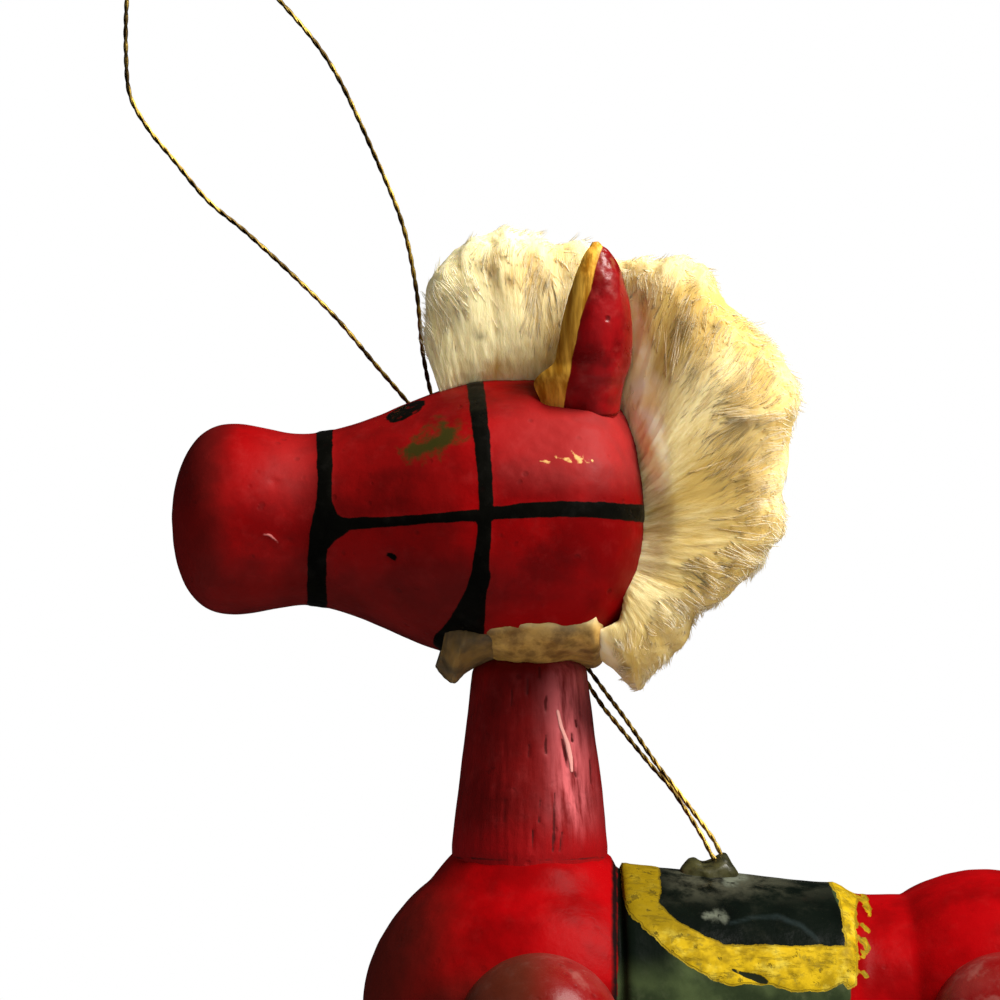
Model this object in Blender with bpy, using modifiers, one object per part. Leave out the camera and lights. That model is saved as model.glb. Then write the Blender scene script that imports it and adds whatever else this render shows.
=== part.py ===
"""Rocking horse ornament: a turned and glued wooden horse on two rockers, with a fur mane and tail
and a gold thread loop to hang it by.

World frame: the nose points to -X, the horse's left side to -Y, and +Z is up. The origin is on the
floor, midway along the rockers. All sizes are in metres.
"""
import bmesh
import bpy
from math import cos, pi, radians, sin, sqrt
from mathutils import Matrix, Vector

MM = 0.001

# Fits
GAP = 0.3 * MM            # left between glued pieces
DEEP = 30 * MM            # how far a cutter reaches past what it cuts

# Turned body, its axis along X
BODY_Z = 38.6 * MM
CHEST_X = -10.4 * MM
CHEST_R = 12.5 * MM
GROOVE_X = -3.85 * MM     # between the chest ball and the saddle drum
GROOVE_R = 10.5 * MM
GROOVE_LIP = 0.35 * MM    # rounding of the groove's edges
SADDLE_FRONT_X = -3.3 * MM
SADDLE_FRONT_R = 11.25 * MM
SADDLE_REAR_X = 12.6 * MM
SADDLE_REAR_R = 9.9 * MM
WAIST_X = 14.4 * MM       # foot of the saddle's rear shoulder
WAIST_R = 9.0 * MM
RUMP_X = 23.8 * MM
RUMP_R = 10.9 * MM

# Turned neck, its axis upright
NECK_X = -10.35 * MM
NECK_FOOT_Z = 48.0 * MM   # inside the chest ball, which copes it
NECK_FOOT_R = 6.25 * MM
NECK_TOP_Z = 65.6 * MM
NECK_TOP_R = 4.35 * MM
NECK_ROUND = 1.6 * MM     # rounding of the domed top
NECK_ROUND_STEPS = 4

# Turned head, its axis along X
HEAD_Z = 75.75 * MM
NOSE_X = -37.0 * MM
MUZZLE_X = -32.5 * MM     # widest part of the muzzle
MUZZLE_R = 7.1 * MM
NOSEBAND_X = -27.3 * MM   # narrowest part
NOSEBAND_R = 6.45 * MM
CHEEK_X = -12.6 * MM      # where the cone runs into the drum
CHEEK_R = 10.5 * MM
NAPE_X = -8.5 * MM        # where the drum starts to round off
HEAD_END_X = -1.5 * MM
BLUNTNESS = 2.4           # exponent of the rounding at both ends

# Ears: carved half bullets on flats cut in the head
EAR_FLAT_ANGLE = radians(64)   # of the flat's normal, up from the side
EAR_FLAT_DEPTH = 0.55 * MM
EAR_FLAT_FRONT_X = -10.4 * MM
EAR_X = -5.6 * MM
EAR_LEAN = radians(9)          # outwards
EAR_TURN = radians(22)         # of the scooped face, outwards
EAR_SCOOP = 0.45 * MM          # hollow of the face
# height over the flat, reach of the face ahead of the axis, radius behind it, half width
EAR_SECTIONS = [
    (-3.2, 3.0, 1.8, 2.0),
    (0.0, 3.9, 1.8, 2.1),
    (1.0, 3.9, 2.0, 2.3),
    (2.2, 3.0, 2.4, 2.6),
    (3.8, 2.4, 2.7, 2.8),
    (5.6, 2.1, 2.7, 2.8),
    (7.4, 1.7, 2.4, 2.5),
    (9.2, 1.2, 1.9, 2.0),
    (10.6, 0.8, 1.3, 1.3),
    (11.5, 0.5, 0.6, 0.6),
]

# Fur mane: rays from the hide out to the sheared tips, in the plane of symmetry
HIDE = 0.75 * MM
HIDE_SINK = 1.8 * MM      # how far the strip reaches into the head before the head cuts it back
# x and z of the hide, x and z of the tips, half widths at hide and at tips
MANE_RAYS = [
    (-17.2, 85.7, -18.3, 89.2, 2.2, 2.0),
    (-16.5, 86.0, -18.2, 93.0, 2.6, 3.2),
    (-15.2, 86.5, -16.6, 95.2, 2.8, 4.0),
    (-13.2, 86.8, -14.1, 97.2, 2.8, 4.4),
    (-11.0, 86.8, -11.7, 97.6, 2.5, 4.2),
    (-8.8, 86.8, -8.9, 96.8, 2.1, 2.6),
    (-6.6, 86.7, -5.8, 96.3, 1.8, 1.9),
    (-4.8, 86.4, -3.5, 95.2, 1.8, 2.0),
    (-3.0, 85.6, -0.3, 95.6, 2.6, 4.6),
    (-1.6, 84.2, 2.8, 94.6, 5.2, 6.4),
    (-0.6, 82.4, 5.3, 91.0, 6.6, 7.4),
    (0.1, 80.6, 8.3, 88.9, 7.0, 8.0),
    (0.5, 78.8, 9.6, 84.8, 7.2, 8.2),
    (0.7, 76.6, 8.5, 79.0, 7.2, 8.2),
    (0.6, 74.4, 8.1, 74.0, 7.2, 8.0),
    (0.1, 72.2, 5.4, 71.2, 7.2, 7.8),
    (-0.7, 70.2, 2.3, 68.2, 7.2, 7.6),
    (-1.9, 68.4, 0.3, 65.4, 7.2, 7.4),
    (-3.2, 66.9, -2.0, 63.2, 7.1, 7.2),
    (-4.6, 65.7, -4.2, 64.1, 7.0, 7.0),
    (-6.2, 65.2, -6.1, 64.2, 7.0, 7.0),
    (-10.4, 65.2, -10.4, 64.2, 7.0, 7.0),
    (-14.6, 65.4, -14.8, 63.9, 7.0, 7.0),
    (-15.8, 66.0, -16.2, 63.4, 6.6, 6.8),
    (-16.8, 66.9, -17.4, 64.6, 5.6, 5.8),
]
MANE_RINGS = 46
MANE_SIDES = 18
HIDE_BEND_R = 11.6 * MM   # the strip bends round the head above and below, and lies flat across its back
LOCK_DEPTH = 0.45 * MM
LOCKS_ALONG_MANE = 15

# Fur tail, a tuft of the same fur
TAIL_INSET = 2.3 * MM     # of its root, in from the rump's end
TAIL_ROOT_RISE = 4.0 * MM  # of its root, over the body's axis
TAIL_ARCH_OUT = 5.3 * MM  # of the arch it springs in, out from the rump's end
TAIL_ARCH_RISE = 7.9 * MM
TAIL_OUT = 7.3 * MM       # of its tip, out from the rump's end
TAIL_DROP = 18.1 * MM     # of its tip, below the body's axis
TAIL_WIDTH = 4.4 * MM     # half of its greatest width
TAIL_THICKNESS = 2.9 * MM
TAIL_RINGS = 17
TAIL_SIDES = 14
TAIL_LOCKS = 5

# Turned legs, glued to the sides of the body
THIGH_R = 6.0 * MM
THIGH_Z = 39.2 * MM
SHIN_R = 2.9 * MM
FETLOCK_R = 2.1 * MM
HOOF_R = 2.6 * MM
HOOF_LENGTH = 4.2 * MM
LEGS = [                  # name, thigh x, thigh y, foot x
    ("leg_front", -9.8 * MM, 13.4 * MM, -20.0 * MM),
    ("leg_rear", 23.8 * MM, 12.0 * MM, 31.5 * MM),
]

# Rockers
ROCKER_Y = 14.6 * MM
ROCKER_HALF_ARC = 48 * MM  # along the bottom
ROCKER_BOTTOM_R = 95 * MM
ROCKER_HEIGHT = 5.5 * MM
ROCKER_THICKNESS = 5.0 * MM
REST_HALF_LENGTH = 6 * MM  # the small flat that it rests on
ROCKER_ARC_STEPS = 22
ROCKER_END_STEPS = 6

# Cross bars, dowels between the rockers
CROSSBAR_INSET = 8.2 * MM  # in from the rockers' ends, along the arc
CROSSBAR_R = 1.6 * MM

# Glue drop that holds the thread in the saddle
GLUE_HALF_LENGTH = 2.2 * MM
GLUE_HALF_WIDTH = 1.5 * MM
GLUE_RISE = 0.75 * MM
GLUE_X = 3.1 * MM

# Gold thread, one open route from the glue up behind the head and back
THREAD_R = 0.2 * MM
THREAD_STEPS = 2          # points made from each stretch of the route
THREAD_ROUTE = [          # in millimetres
    (3.2, -0.15, 50.75), (2.4, 0.1, 52.3), (0.4, 1.3, 55.4), (-1.2, 2.4, 57.2), (-3.9, 5.2, 60.4),
    (-5.0, 6.8, 61.8), (-7.9, 10.4, 66.3), (-10.2, 12.0, 70.9), (-13.0, 12.2, 76.1), (-16.1, 10.8, 80.4),
    (-19.9, 6.4, 85.0), (-22.3, 5.0, 87.8), (-24.9, 4.0, 90.9), (-28.1, 3.0, 94.1), (-31.8, 2.2, 97.5),
    (-34.7, 1.7, 99.9), (-37.2, 1.2, 102.9), (-39.0, 0.9, 105.1), (-40.4, 0.7, 107.6), (-40.7, 0.4, 110.6), (-40.6, 0.1, 114.8),
    (-40.0, 0.0, 118.6), (-37.6, 0.0, 121.3), (-34.8, 0.1, 120.2), (-32.0, 0.2, 117.8), (-29.2, 0.3, 114.8),
    (-26.6, 0.6, 111.8), (-24.7, 1.0, 108.9), (-22.6, 1.8, 104.5), (-20.1, 3.0, 98.5), (-19.0, 4.4, 93.3),
    (-18.5, 6.2, 88.2), (-17.3, 9.2, 83.5), (-14.2, 12.3, 77.2), (-9.0, 12.4, 68.6), (-5.0, 9.0, 63.1),
    (-2.8, 5.8, 60.2), (-0.7, 2.9, 57.2), (0.8, 1.8, 55.3), (3.2, 0.4, 52.1), (3.95, 0.15, 50.75),
]

# Segments round a turned piece
BODY_SIDES = 26
NECK_SIDES = 22
LEG_SIDES = 14


def material(name, colour, roughness, metallic=0.0):
    made = bpy.data.materials.new(name)
    made.use_nodes = True
    shader = made.node_tree.nodes["Principled BSDF"]
    shader.inputs["Base Color"].default_value = (*colour, 1)
    shader.inputs["Roughness"].default_value = roughness
    shader.inputs["Metallic"].default_value = metallic
    return made


def place(obj, collection, look=None):
    """Puts an object in its collection, with its material if it is a part, or as a wire if it cuts."""
    collection.objects.link(obj)
    if look:
        obj.data.materials.append(look)
    else:
        obj.hide_render = True
        obj.display_type = "WIRE"
    return obj


def turned(name, profile, sides):
    """A turned solid about its own Z axis, from (height, radius) pairs that run from the top down."""
    mesh = bpy.data.meshes.new(name)
    mesh.from_pydata([(r, 0, h) for h, r in profile], [(i, i + 1) for i in range(len(profile) - 1)], [])
    obj = bpy.data.objects.new(name, mesh)
    screw = obj.modifiers.new("Turn", "SCREW")
    screw.steps = screw.render_steps = sides
    screw.use_merge_vertices = True
    screw.merge_threshold = 0.00001
    screw.use_smooth_shade = True
    return obj


def along_x(obj, z):
    """Lays a turned piece down, so that its heights run along world X."""
    obj.rotation_euler = (0, pi / 2, 0)
    obj.location = (0, 0, z)
    return obj


def cut(obj, cutter):
    boolean = obj.modifiers.new("Cut by " + cutter.name, "BOOLEAN")
    boolean.operation = "DIFFERENCE"
    boolean.solver = "EXACT"
    boolean.object = cutter
    return obj


def clearance(obj, cutters, gap=GAP):
    """A copy of a turned piece as it was before any cut, swollen by the gap, to cut its neighbours with."""
    swollen = obj.copy()
    swollen.data = obj.data.copy()
    swollen.name = obj.name + "_clearance"
    for modifier in [m for m in swollen.modifiers if m.type == "BOOLEAN"]:
        swollen.modifiers.remove(modifier)
    grow = swollen.modifiers.new("Swell", "DISPLACE")
    grow.mid_level = 0
    grow.strength = gap
    return place(swollen, cutters)


def loft(name, rings):
    """A closed skin over rings of equal length, each end closed by a fan to the ring's middle."""
    shape = bmesh.new()
    rows = [[shape.verts.new(point) for point in ring] for ring in rings]
    count = len(rows[0])
    for low, high in zip(rows, rows[1:]):
        for i in range(count):
            shape.faces.new((low[i], low[(i + 1) % count], high[(i + 1) % count], high[i]))
    for row in (rows[0], rows[-1]):
        middle = shape.verts.new(sum((vert.co for vert in row), Vector()) / count)
        for i in range(count):
            shape.faces.new((middle, row[i], row[(i + 1) % count]))
    bmesh.ops.recalc_face_normals(shape, faces=shape.faces)
    mesh = bpy.data.meshes.new(name)
    shape.to_mesh(mesh)
    shape.free()
    mesh.shade_smooth()
    return bpy.data.objects.new(name, mesh)


def box(name, low, high):
    shape = bmesh.new()
    bmesh.ops.create_cube(shape, size=1)
    low, high = Vector(low), Vector(high)
    for vert in shape.verts:
        vert.co = low + Vector(c * (s + 0.5) for c, s in zip(high - low, vert.co))
    mesh = bpy.data.meshes.new(name)
    shape.to_mesh(mesh)
    shape.free()
    return bpy.data.objects.new(name, mesh)


def smooth_row(rows, share):
    """The Catmull-Rom value at a share from 0 to 1 along rows of numbers."""
    place_along = share * (len(rows) - 1)
    i = min(int(place_along), len(rows) - 2)
    t = place_along - i
    around = [rows[min(max(k, 0), len(rows) - 1)] for k in (i - 1, i, i + 1, i + 2)]
    return [
        0.5 * (2 * b + (c - a) * t + (2 * a - 5 * b + 4 * c - d) * t * t + (3 * b - a - 3 * c + d) * t**3)
        for a, b, c, d in zip(*around)
    ]


def blend(t):
    """Rises smoothly from 0 to 1 as t does."""
    return t * t * (3 - 2 * t)


def ball_arc(centre, radius, start, end, steps):
    """(x, r) points on a ball, from x = start to x = end, both included."""
    return [
        (x, sqrt(max(radius**2 - (x - centre) ** 2, 0)))
        for x in (start + (end - start) * i / steps for i in range(steps + 1))
    ]


def body_profile():
    """From the rump's end forwards to the breast."""
    rump_foot = RUMP_X - sqrt(RUMP_R**2 - WAIST_R**2)
    chest_end = CHEST_X + sqrt(CHEST_R**2 - (GROOVE_R + GROOVE_LIP) ** 2)
    rump = [(RUMP_X + RUMP_R, 0)]
    rump += [(RUMP_X + RUMP_R * cos(a), RUMP_R * sin(a)) for a in (radians(12 * i) for i in range(1, 8))]
    rump += ball_arc(RUMP_X, RUMP_R, RUMP_X - 1 * MM, rump_foot, 3)
    shoulder = [
        (WAIST_X + (SADDLE_REAR_X - WAIST_X) * sin(a), WAIST_R + (SADDLE_REAR_R - WAIST_R) * (1 - cos(a)))
        for a in (pi / 2 * i / 3 for i in range(4))
    ]
    saddle = [(SADDLE_FRONT_X, SADDLE_FRONT_R), (SADDLE_FRONT_X - GROOVE_LIP / 2, SADDLE_FRONT_R - GROOVE_LIP)]
    chest = ball_arc(CHEST_X, CHEST_R, chest_end, CHEST_X, 3)
    chest += [(CHEST_X - CHEST_R * sin(a), CHEST_R * cos(a)) for a in (radians(12 * i) for i in range(1, 8))]
    return rump + shoulder + saddle + [(GROOVE_X, GROOVE_R)] + chest + [(CHEST_X - CHEST_R, 0)]


def blunt_end(start, end, radius, steps):
    """(x, r) from a drum's rim at start to its middle at end, rounded off bluntly."""
    points = []
    for i in range(1, steps + 1):
        a = pi / 2 * i / steps
        x = start + (end - start) * sin(a) ** (2 / BLUNTNESS)
        points.append((x, radius * max(cos(a), 0) ** (2 / BLUNTNESS)))
    points[-1] = (end, 0)
    return points


def head_profile():
    """From the back of the head forwards to the nose."""
    back = blunt_end(NAPE_X, HEAD_END_X, CHEEK_R, 7)[::-1]
    drum = [(NAPE_X, CHEEK_R)]
    cheek = []
    for i in range(9):
        t = i / 8
        x = CHEEK_X + (NOSEBAND_X - CHEEK_X) * t
        cheek.append((x, CHEEK_R + (NOSEBAND_R - CHEEK_R) * (1 - blend((1 - t) ** 0.92))))
    muzzle = []
    for i in range(1, 5):
        t = i / 4
        x = NOSEBAND_X + (MUZZLE_X - NOSEBAND_X) * t
        muzzle.append((x, NOSEBAND_R + (MUZZLE_R - NOSEBAND_R) * blend(t)))
    return back + drum + cheek + muzzle + blunt_end(MUZZLE_X, NOSE_X, MUZZLE_R, 7)


def neck_profile():
    """Straight cone under a top with a rounded edge."""
    edge = [
        (NECK_TOP_Z - NECK_ROUND * (1 - cos(a)), NECK_TOP_R - NECK_ROUND * (1 - sin(a)))
        for a in (pi / 2 * i / NECK_ROUND_STEPS for i in range(NECK_ROUND_STEPS + 1))
    ]
    return [(NECK_TOP_Z, 0)] + edge + [(NECK_FOOT_Z, NECK_FOOT_R), (NECK_FOOT_Z, 0)]


def leg_profile(length):
    """Ball-ended thigh, tapering shin, thin fetlock and a small hoof, from the top down."""
    thigh = [(THIGH_R * cos(a), THIGH_R * sin(a)) for a in (radians(15 * i) for i in range(1, 9))]
    shin = [
        (-0.36 * length, SHIN_R + 0.45 * MM),
        (-0.52 * length, SHIN_R),
        (-0.72 * length, FETLOCK_R + 0.2 * MM),
        (HOOF_LENGTH + 1.2 * MM - length, FETLOCK_R),
        (HOOF_LENGTH - length, FETLOCK_R + 0.25 * MM),
    ]
    hoof = [(HOOF_LENGTH - 0.9 * MM - length, HOOF_R - 0.3 * MM), (-length, HOOF_R), (-length, 0)]
    return [(THIGH_R, 0)] + thigh + shin + hoof


def ear_flat(side):
    """The flat's outward normal, and the middle of the ear's foot on it."""
    normal = Vector((0, side * cos(EAR_FLAT_ANGLE), sin(EAR_FLAT_ANGLE)))
    return normal, Vector((EAR_X, 0, HEAD_Z)) + normal * (CHEEK_R - EAR_FLAT_DEPTH)


def ear(name, side):
    """A half bullet: round behind, its face a shallow scoop that opens forwards and outwards."""
    normal, foot = ear_flat(side)
    turn = Matrix.Rotation(-side * EAR_LEAN, 3, "X") @ Matrix.Rotation(side * EAR_TURN, 3, "Z")
    rings = []
    for height, reach, back, half_width in EAR_SECTIONS:
        ring = []
        for i in range(9):
            a = -pi / 2 + pi * i / 8
            ring.append(Vector((back * cos(a), half_width * sin(a), height)) * MM)
        for i in range(5):
            u = 1 - i / 2
            hollow = EAR_SCOOP / MM * (1 - u * u) * min(half_width / 2.8, 1)
            ring.append(Vector((hollow - reach, 0.92 * half_width * u, height)) * MM)
        rings.append([foot + turn @ point for point in ring])
    return loft(name, rings)


def flat_block(name, side, low, high):
    """A box seen from the ear's foot: X along the head, Y across the flat and Z out of it."""
    normal, foot = ear_flat(side)
    block = box(name, low, high)
    along = Vector((1, 0, 0))
    frame = Matrix((along, normal.cross(along), normal)).transposed().to_4x4()
    block.matrix_world = Matrix.Translation(foot) @ frame
    return block


def mane():
    """A strip of fur bent around the head, its tips combed into locks."""
    rings = []
    for k in range(MANE_RINGS):
        share = k / (MANE_RINGS - 1)
        hide_x, hide_z, tip_x, tip_z, hide_half, tip_half = smooth_row(MANE_RAYS, share)
        hide, tip = Vector((hide_x, 0, hide_z)) * MM, Vector((tip_x, 0, tip_z)) * MM
        out = (tip - hide).normalized()
        hide -= out * HIDE_SINK
        length = (tip - hide).length
        ring = []
        for i in range(MANE_SIDES):
            a = 2 * pi * i / MANE_SIDES
            u = (abs(cos(a)) ** 0.6) * (1 if cos(a) > 0 else -1)
            v = 0.5 + 0.5 * (abs(sin(a)) ** 0.6) * (1 if sin(a) > 0 else -1)
            half = (hide_half + (tip_half - hide_half) * v) * MM
            lock = sin(2 * pi * LOCKS_ALONG_MANE * share + 2.4 * u) * sin(5.1 * u + 9 * share)
            deep = LOCK_DEPTH * lock * v * min(length / (6 * MM), 1)
            drop = (HIDE_BEND_R - sqrt(HIDE_BEND_R**2 - (u * half) ** 2)) * out.z**2
            ring.append(hide + out * (length * v + deep - drop) + Vector((0, u * (half + 0.6 * deep), 0)))
        rings.append(ring)
    return loft("mane", rings)


def bezier(a, b, c, d, t):
    return a * (1 - t) ** 3 + b * 3 * t * (1 - t) ** 2 + c * 3 * t * t * (1 - t) + d * t**3


def tail():
    """A tuft that springs from the rump, swells and comes to a ragged point."""
    rump_end = RUMP_X + RUMP_R
    root = Vector((rump_end - TAIL_INSET, 0, BODY_Z + TAIL_ROOT_RISE))
    arch = Vector((rump_end + TAIL_ARCH_OUT, 0, BODY_Z + TAIL_ARCH_RISE))
    tip = Vector((rump_end + TAIL_OUT, 0, BODY_Z - TAIL_DROP))
    knee = tip + (arch - tip) * 0.52
    rings = []
    for k in range(TAIL_RINGS):
        t = k / (TAIL_RINGS - 1)
        centre = bezier(root, arch, knee, tip, t)
        ahead = bezier(root, arch, knee, tip, t + 0.01) - centre
        out = Vector((0, 1, 0)).cross(ahead).normalized()
        swell = (0.55 + 0.45 * sin(pi * min(t * 1.25, 1) / 2)) * sqrt(max(1 - t**5, 0.03))
        ring = []
        for i in range(TAIL_SIDES):
            a = 2 * pi * i / TAIL_SIDES
            lock = 1 + 0.09 * sin(TAIL_LOCKS * a + 5 * t) * min(3 * t, 1)
            side = Vector((0, TAIL_WIDTH * cos(a), 0)) + out * TAIL_THICKNESS * sin(a)
            ring.append(centre + side * swell * lock)
        rings.append(ring)
    return loft("tail", rings)


def rest_cut():
    """How much of the lowest part of a rocker's arc the small flat takes off."""
    return ROCKER_BOTTOM_R - sqrt(ROCKER_BOTTOM_R**2 - REST_HALF_LENGTH**2)


def rocker_middle_z(x):
    """Height of a rocker's middle line."""
    middle_r = ROCKER_BOTTOM_R - ROCKER_HEIGHT / 2
    return ROCKER_BOTTOM_R - sqrt(middle_r**2 - x**2) - rest_cut()


def rocker_outline(grow):
    """(x, z) round a rocker swollen by grow: bottom arc, round rear end, top arc, round front end."""
    middle_r = ROCKER_BOTTOM_R - ROCKER_HEIGHT / 2
    end_r = ROCKER_HEIGHT / 2 + grow
    reach = (ROCKER_HALF_ARC - ROCKER_HEIGHT / 2) / ROCKER_BOTTOM_R
    sweep = [-reach + 2 * reach * i / ROCKER_ARC_STEPS for i in range(ROCKER_ARC_STEPS + 1)]
    half_turn = [-pi / 2 + pi * i / ROCKER_END_STEPS for i in range(1, ROCKER_END_STEPS)]

    def on_arc(radius, angle):
        return radius * sin(angle), ROCKER_BOTTOM_R - radius * cos(angle)

    def round_end(angle, heading):
        x, z = on_arc(middle_r, angle)
        return [(x + end_r * cos(heading + a), z + end_r * sin(heading + a)) for a in half_turn]

    points = [on_arc(middle_r + end_r, angle) for angle in sweep] + round_end(reach, reach)
    points += [on_arc(middle_r - end_r, -angle) for angle in sweep] + round_end(-reach, pi - reach)
    return [(x, max(z - rest_cut(), -grow)) for x, z in points]


def rocker(name, side, grow=0.0):
    """One rocker, or with grow a swollen and wider one to seat the hooves on."""
    curve = bpy.data.curves.new(name, "CURVE")
    curve.dimensions = "2D"
    curve.fill_mode = "BOTH"
    curve.extrude = ROCKER_THICKNESS / 2 + (HOOF_R if grow else 0)
    outline = rocker_outline(grow)
    spline = curve.splines.new("POLY")
    spline.points.add(len(outline) - 1)
    for point, (x, z) in zip(spline.points, outline):
        point.co = (x, z, 0, 1)
    spline.use_cyclic_u = True
    drawn = bpy.data.objects.new(name, curve)
    bpy.context.scene.collection.objects.link(drawn)
    bpy.context.view_layer.update()
    mesh = bpy.data.meshes.new_from_object(drawn.evaluated_get(bpy.context.evaluated_depsgraph_get()))
    bpy.data.objects.remove(drawn)
    weld = bmesh.new()
    weld.from_mesh(mesh)
    bmesh.ops.remove_doubles(weld, verts=weld.verts, dist=0.000001)
    bmesh.ops.recalc_face_normals(weld, faces=weld.faces)
    weld.to_mesh(mesh)
    weld.free()
    mesh.name = name
    obj = bpy.data.objects.new(name, mesh)
    obj.rotation_euler = (pi / 2, 0, 0)
    obj.location = (0, side * ROCKER_Y, 0)
    return obj


def leg(name, thigh_x, thigh_y, foot_x, side):
    thigh = Vector((thigh_x, side * thigh_y, THIGH_Z))
    foot = Vector((foot_x, side * ROCKER_Y, rocker_middle_z(foot_x)))
    obj = turned(name, leg_profile((foot - thigh).length), LEG_SIDES)
    obj.rotation_euler = (thigh - foot).to_track_quat("Z", "Y").to_euler()
    obj.location = thigh
    return obj


def crossbar(name, end):
    """A dowel between the rockers' inner faces, near their front end (-1) or rear end (1)."""
    middle_r = ROCKER_BOTTOM_R - ROCKER_HEIGHT / 2
    x = end * middle_r * sin((ROCKER_HALF_ARC - CROSSBAR_INSET) / ROCKER_BOTTOM_R)
    half = ROCKER_Y - ROCKER_THICKNESS / 2 - GAP
    mesh = bpy.data.meshes.new(name)
    shape = bmesh.new()
    bmesh.ops.create_cone(shape, cap_ends=True, segments=16, radius1=CROSSBAR_R, radius2=CROSSBAR_R, depth=2 * half)
    shape.to_mesh(mesh)
    shape.free()
    mesh.shade_smooth()
    mesh.set_sharp_from_angle(angle=radians(40))
    obj = bpy.data.objects.new(name, mesh)
    obj.rotation_euler = (pi / 2, 0, 0)
    obj.location = (x, 0, rocker_middle_z(x))
    return obj


def glue_drop():
    """A flattened drop on the saddle's ridge."""
    mesh = bpy.data.meshes.new("glue_drop")
    shape = bmesh.new()
    bmesh.ops.create_uvsphere(shape, u_segments=14, v_segments=8, radius=1)
    ridge = BODY_Z + SADDLE_FRONT_R + (SADDLE_REAR_R - SADDLE_FRONT_R) * (
        (GLUE_X - SADDLE_FRONT_X) / (SADDLE_REAR_X - SADDLE_FRONT_X)
    )
    for vert in shape.verts:
        vert.co = Vector((vert.co.x * GLUE_HALF_LENGTH, vert.co.y * GLUE_HALF_WIDTH, vert.co.z * 2 * GLUE_RISE))
    shape.to_mesh(mesh)
    shape.free()
    mesh.shade_smooth()
    obj = bpy.data.objects.new("glue_drop", mesh)
    obj.location = (GLUE_X, 0, ridge - GLUE_RISE)
    return obj


def hanging_thread():
    curve = bpy.data.curves.new("hanging_thread", "CURVE")
    curve.dimensions = "3D"
    curve.bevel_depth = THREAD_R
    curve.bevel_resolution = 2
    curve.use_fill_caps = True
    route = [Vector(point) * MM for point in THREAD_ROUTE]
    count = THREAD_STEPS * (len(route) - 1) + 1
    spline = curve.splines.new("POLY")
    spline.points.add(count - 1)
    for i, point in enumerate(spline.points):
        point.co = (*smooth_row(route, i / (count - 1)), 1)
    return bpy.data.objects.new("hanging_thread", curve)


def main():
    for obj in list(bpy.data.objects):
        bpy.data.objects.remove(obj)
    parts = bpy.data.collections.new("rocking_horse_ornament")
    cutters = bpy.data.collections.new("cutters")
    for collection in (parts, cutters):
        bpy.context.scene.collection.children.link(collection)

    red = material("red paint", (0.42, 0.012, 0.012), 0.35)
    dusty_red = material("dusty red paint", (0.30, 0.03, 0.03), 0.5)
    green = material("green paint", (0.02, 0.06, 0.03), 0.4)
    bare_wood = material("bare wood", (0.45, 0.27, 0.09), 0.6)
    fur = material("cream fur", (0.68, 0.56, 0.33), 0.9)
    glue = material("painted glue", (0.16, 0.16, 0.10), 0.35)
    gold = material("gold thread", (0.75, 0.55, 0.2), 0.3, 1.0)

    body = place(along_x(turned("body", body_profile(), BODY_SIDES), BODY_Z), parts, red)
    head = place(along_x(turned("head", head_profile(), BODY_SIDES), HEAD_Z), parts, red)
    neck = turned("neck", neck_profile(), NECK_SIDES)
    neck.location = (NECK_X, 0, 0)
    place(neck, parts, dusty_red)

    body_gap, head_gap = clearance(body, cutters), clearance(head, cutters)
    neck_gap = clearance(neck, cutters)
    hide_gap = place(along_x(turned("hide_clearance", [
        (HEAD_END_X, 0), (HEAD_END_X, CHEEK_R + HIDE + 2 * GAP),
        (CHEEK_X - 10 * MM, CHEEK_R + HIDE + 2 * GAP), (CHEEK_X - 10 * MM, 0),
    ], BODY_SIDES), HEAD_Z), cutters)
    cut(cut(neck, body_gap), hide_gap)

    strip = cut(cut(place(mane(), parts, fur), head_gap), neck_gap)
    for side, word in ((-1, "left"), (1, "right")):
        flat = flat_block("flat_" + word, side, (EAR_FLAT_FRONT_X - EAR_X, -DEEP, 0), (DEEP, DEEP, DEEP))
        cut(head, place(flat, cutters))
        bullet = place(ear("ear_" + word, side), parts, bare_wood)
        cut(strip, clearance(bullet, cutters))
        raised = flat_block("raised_flat_" + word, side, (-DEEP, -DEEP, GAP), (DEEP, DEEP, DEEP))
        seat = cut(clearance(head, cutters), place(raised, cutters))
        seat.name = "seat_" + word
        cut(bullet, seat)

        place(rocker("rocker_" + word, side), parts, green)
        rocker_gap = place(rocker(f"rocker_{word}_clearance", side, GAP), cutters)
        for name, thigh_x, thigh_y, foot_x in LEGS:
            limb = place(leg(f"{name}_{word}", thigh_x, thigh_y, foot_x, side), parts, red)
            cut(cut(limb, body_gap), rocker_gap)

    cut(place(tail(), parts, fur), body_gap)
    for name, end in (("crossbar_front", -1), ("crossbar_rear", 1)):
        place(crossbar(name, end), parts, green)
    cut(place(glue_drop(), parts, glue), body_gap)
    place(hanging_thread(), parts, gold)


main()
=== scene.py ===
# %% [markdown]
# # A painted wooden rocking horse to hang up
# The real ornament is about 98 mm tall. Its body, head, neck and legs were turned on a lathe, glued
# together and dipped in red paint. A strip of real fur makes the mane, and a gold thread hangs it up.
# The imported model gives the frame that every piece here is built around, so it is loaded first.
# The nose points to -X, the horse's left side to -Y, and the rockers stand on z = 0.

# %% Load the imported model
from math import cos, pi, radians, sin, sqrt
from types import SimpleNamespace

import bmesh
import bpy
import numpy as np
from mathutils import Matrix, Vector


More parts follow.
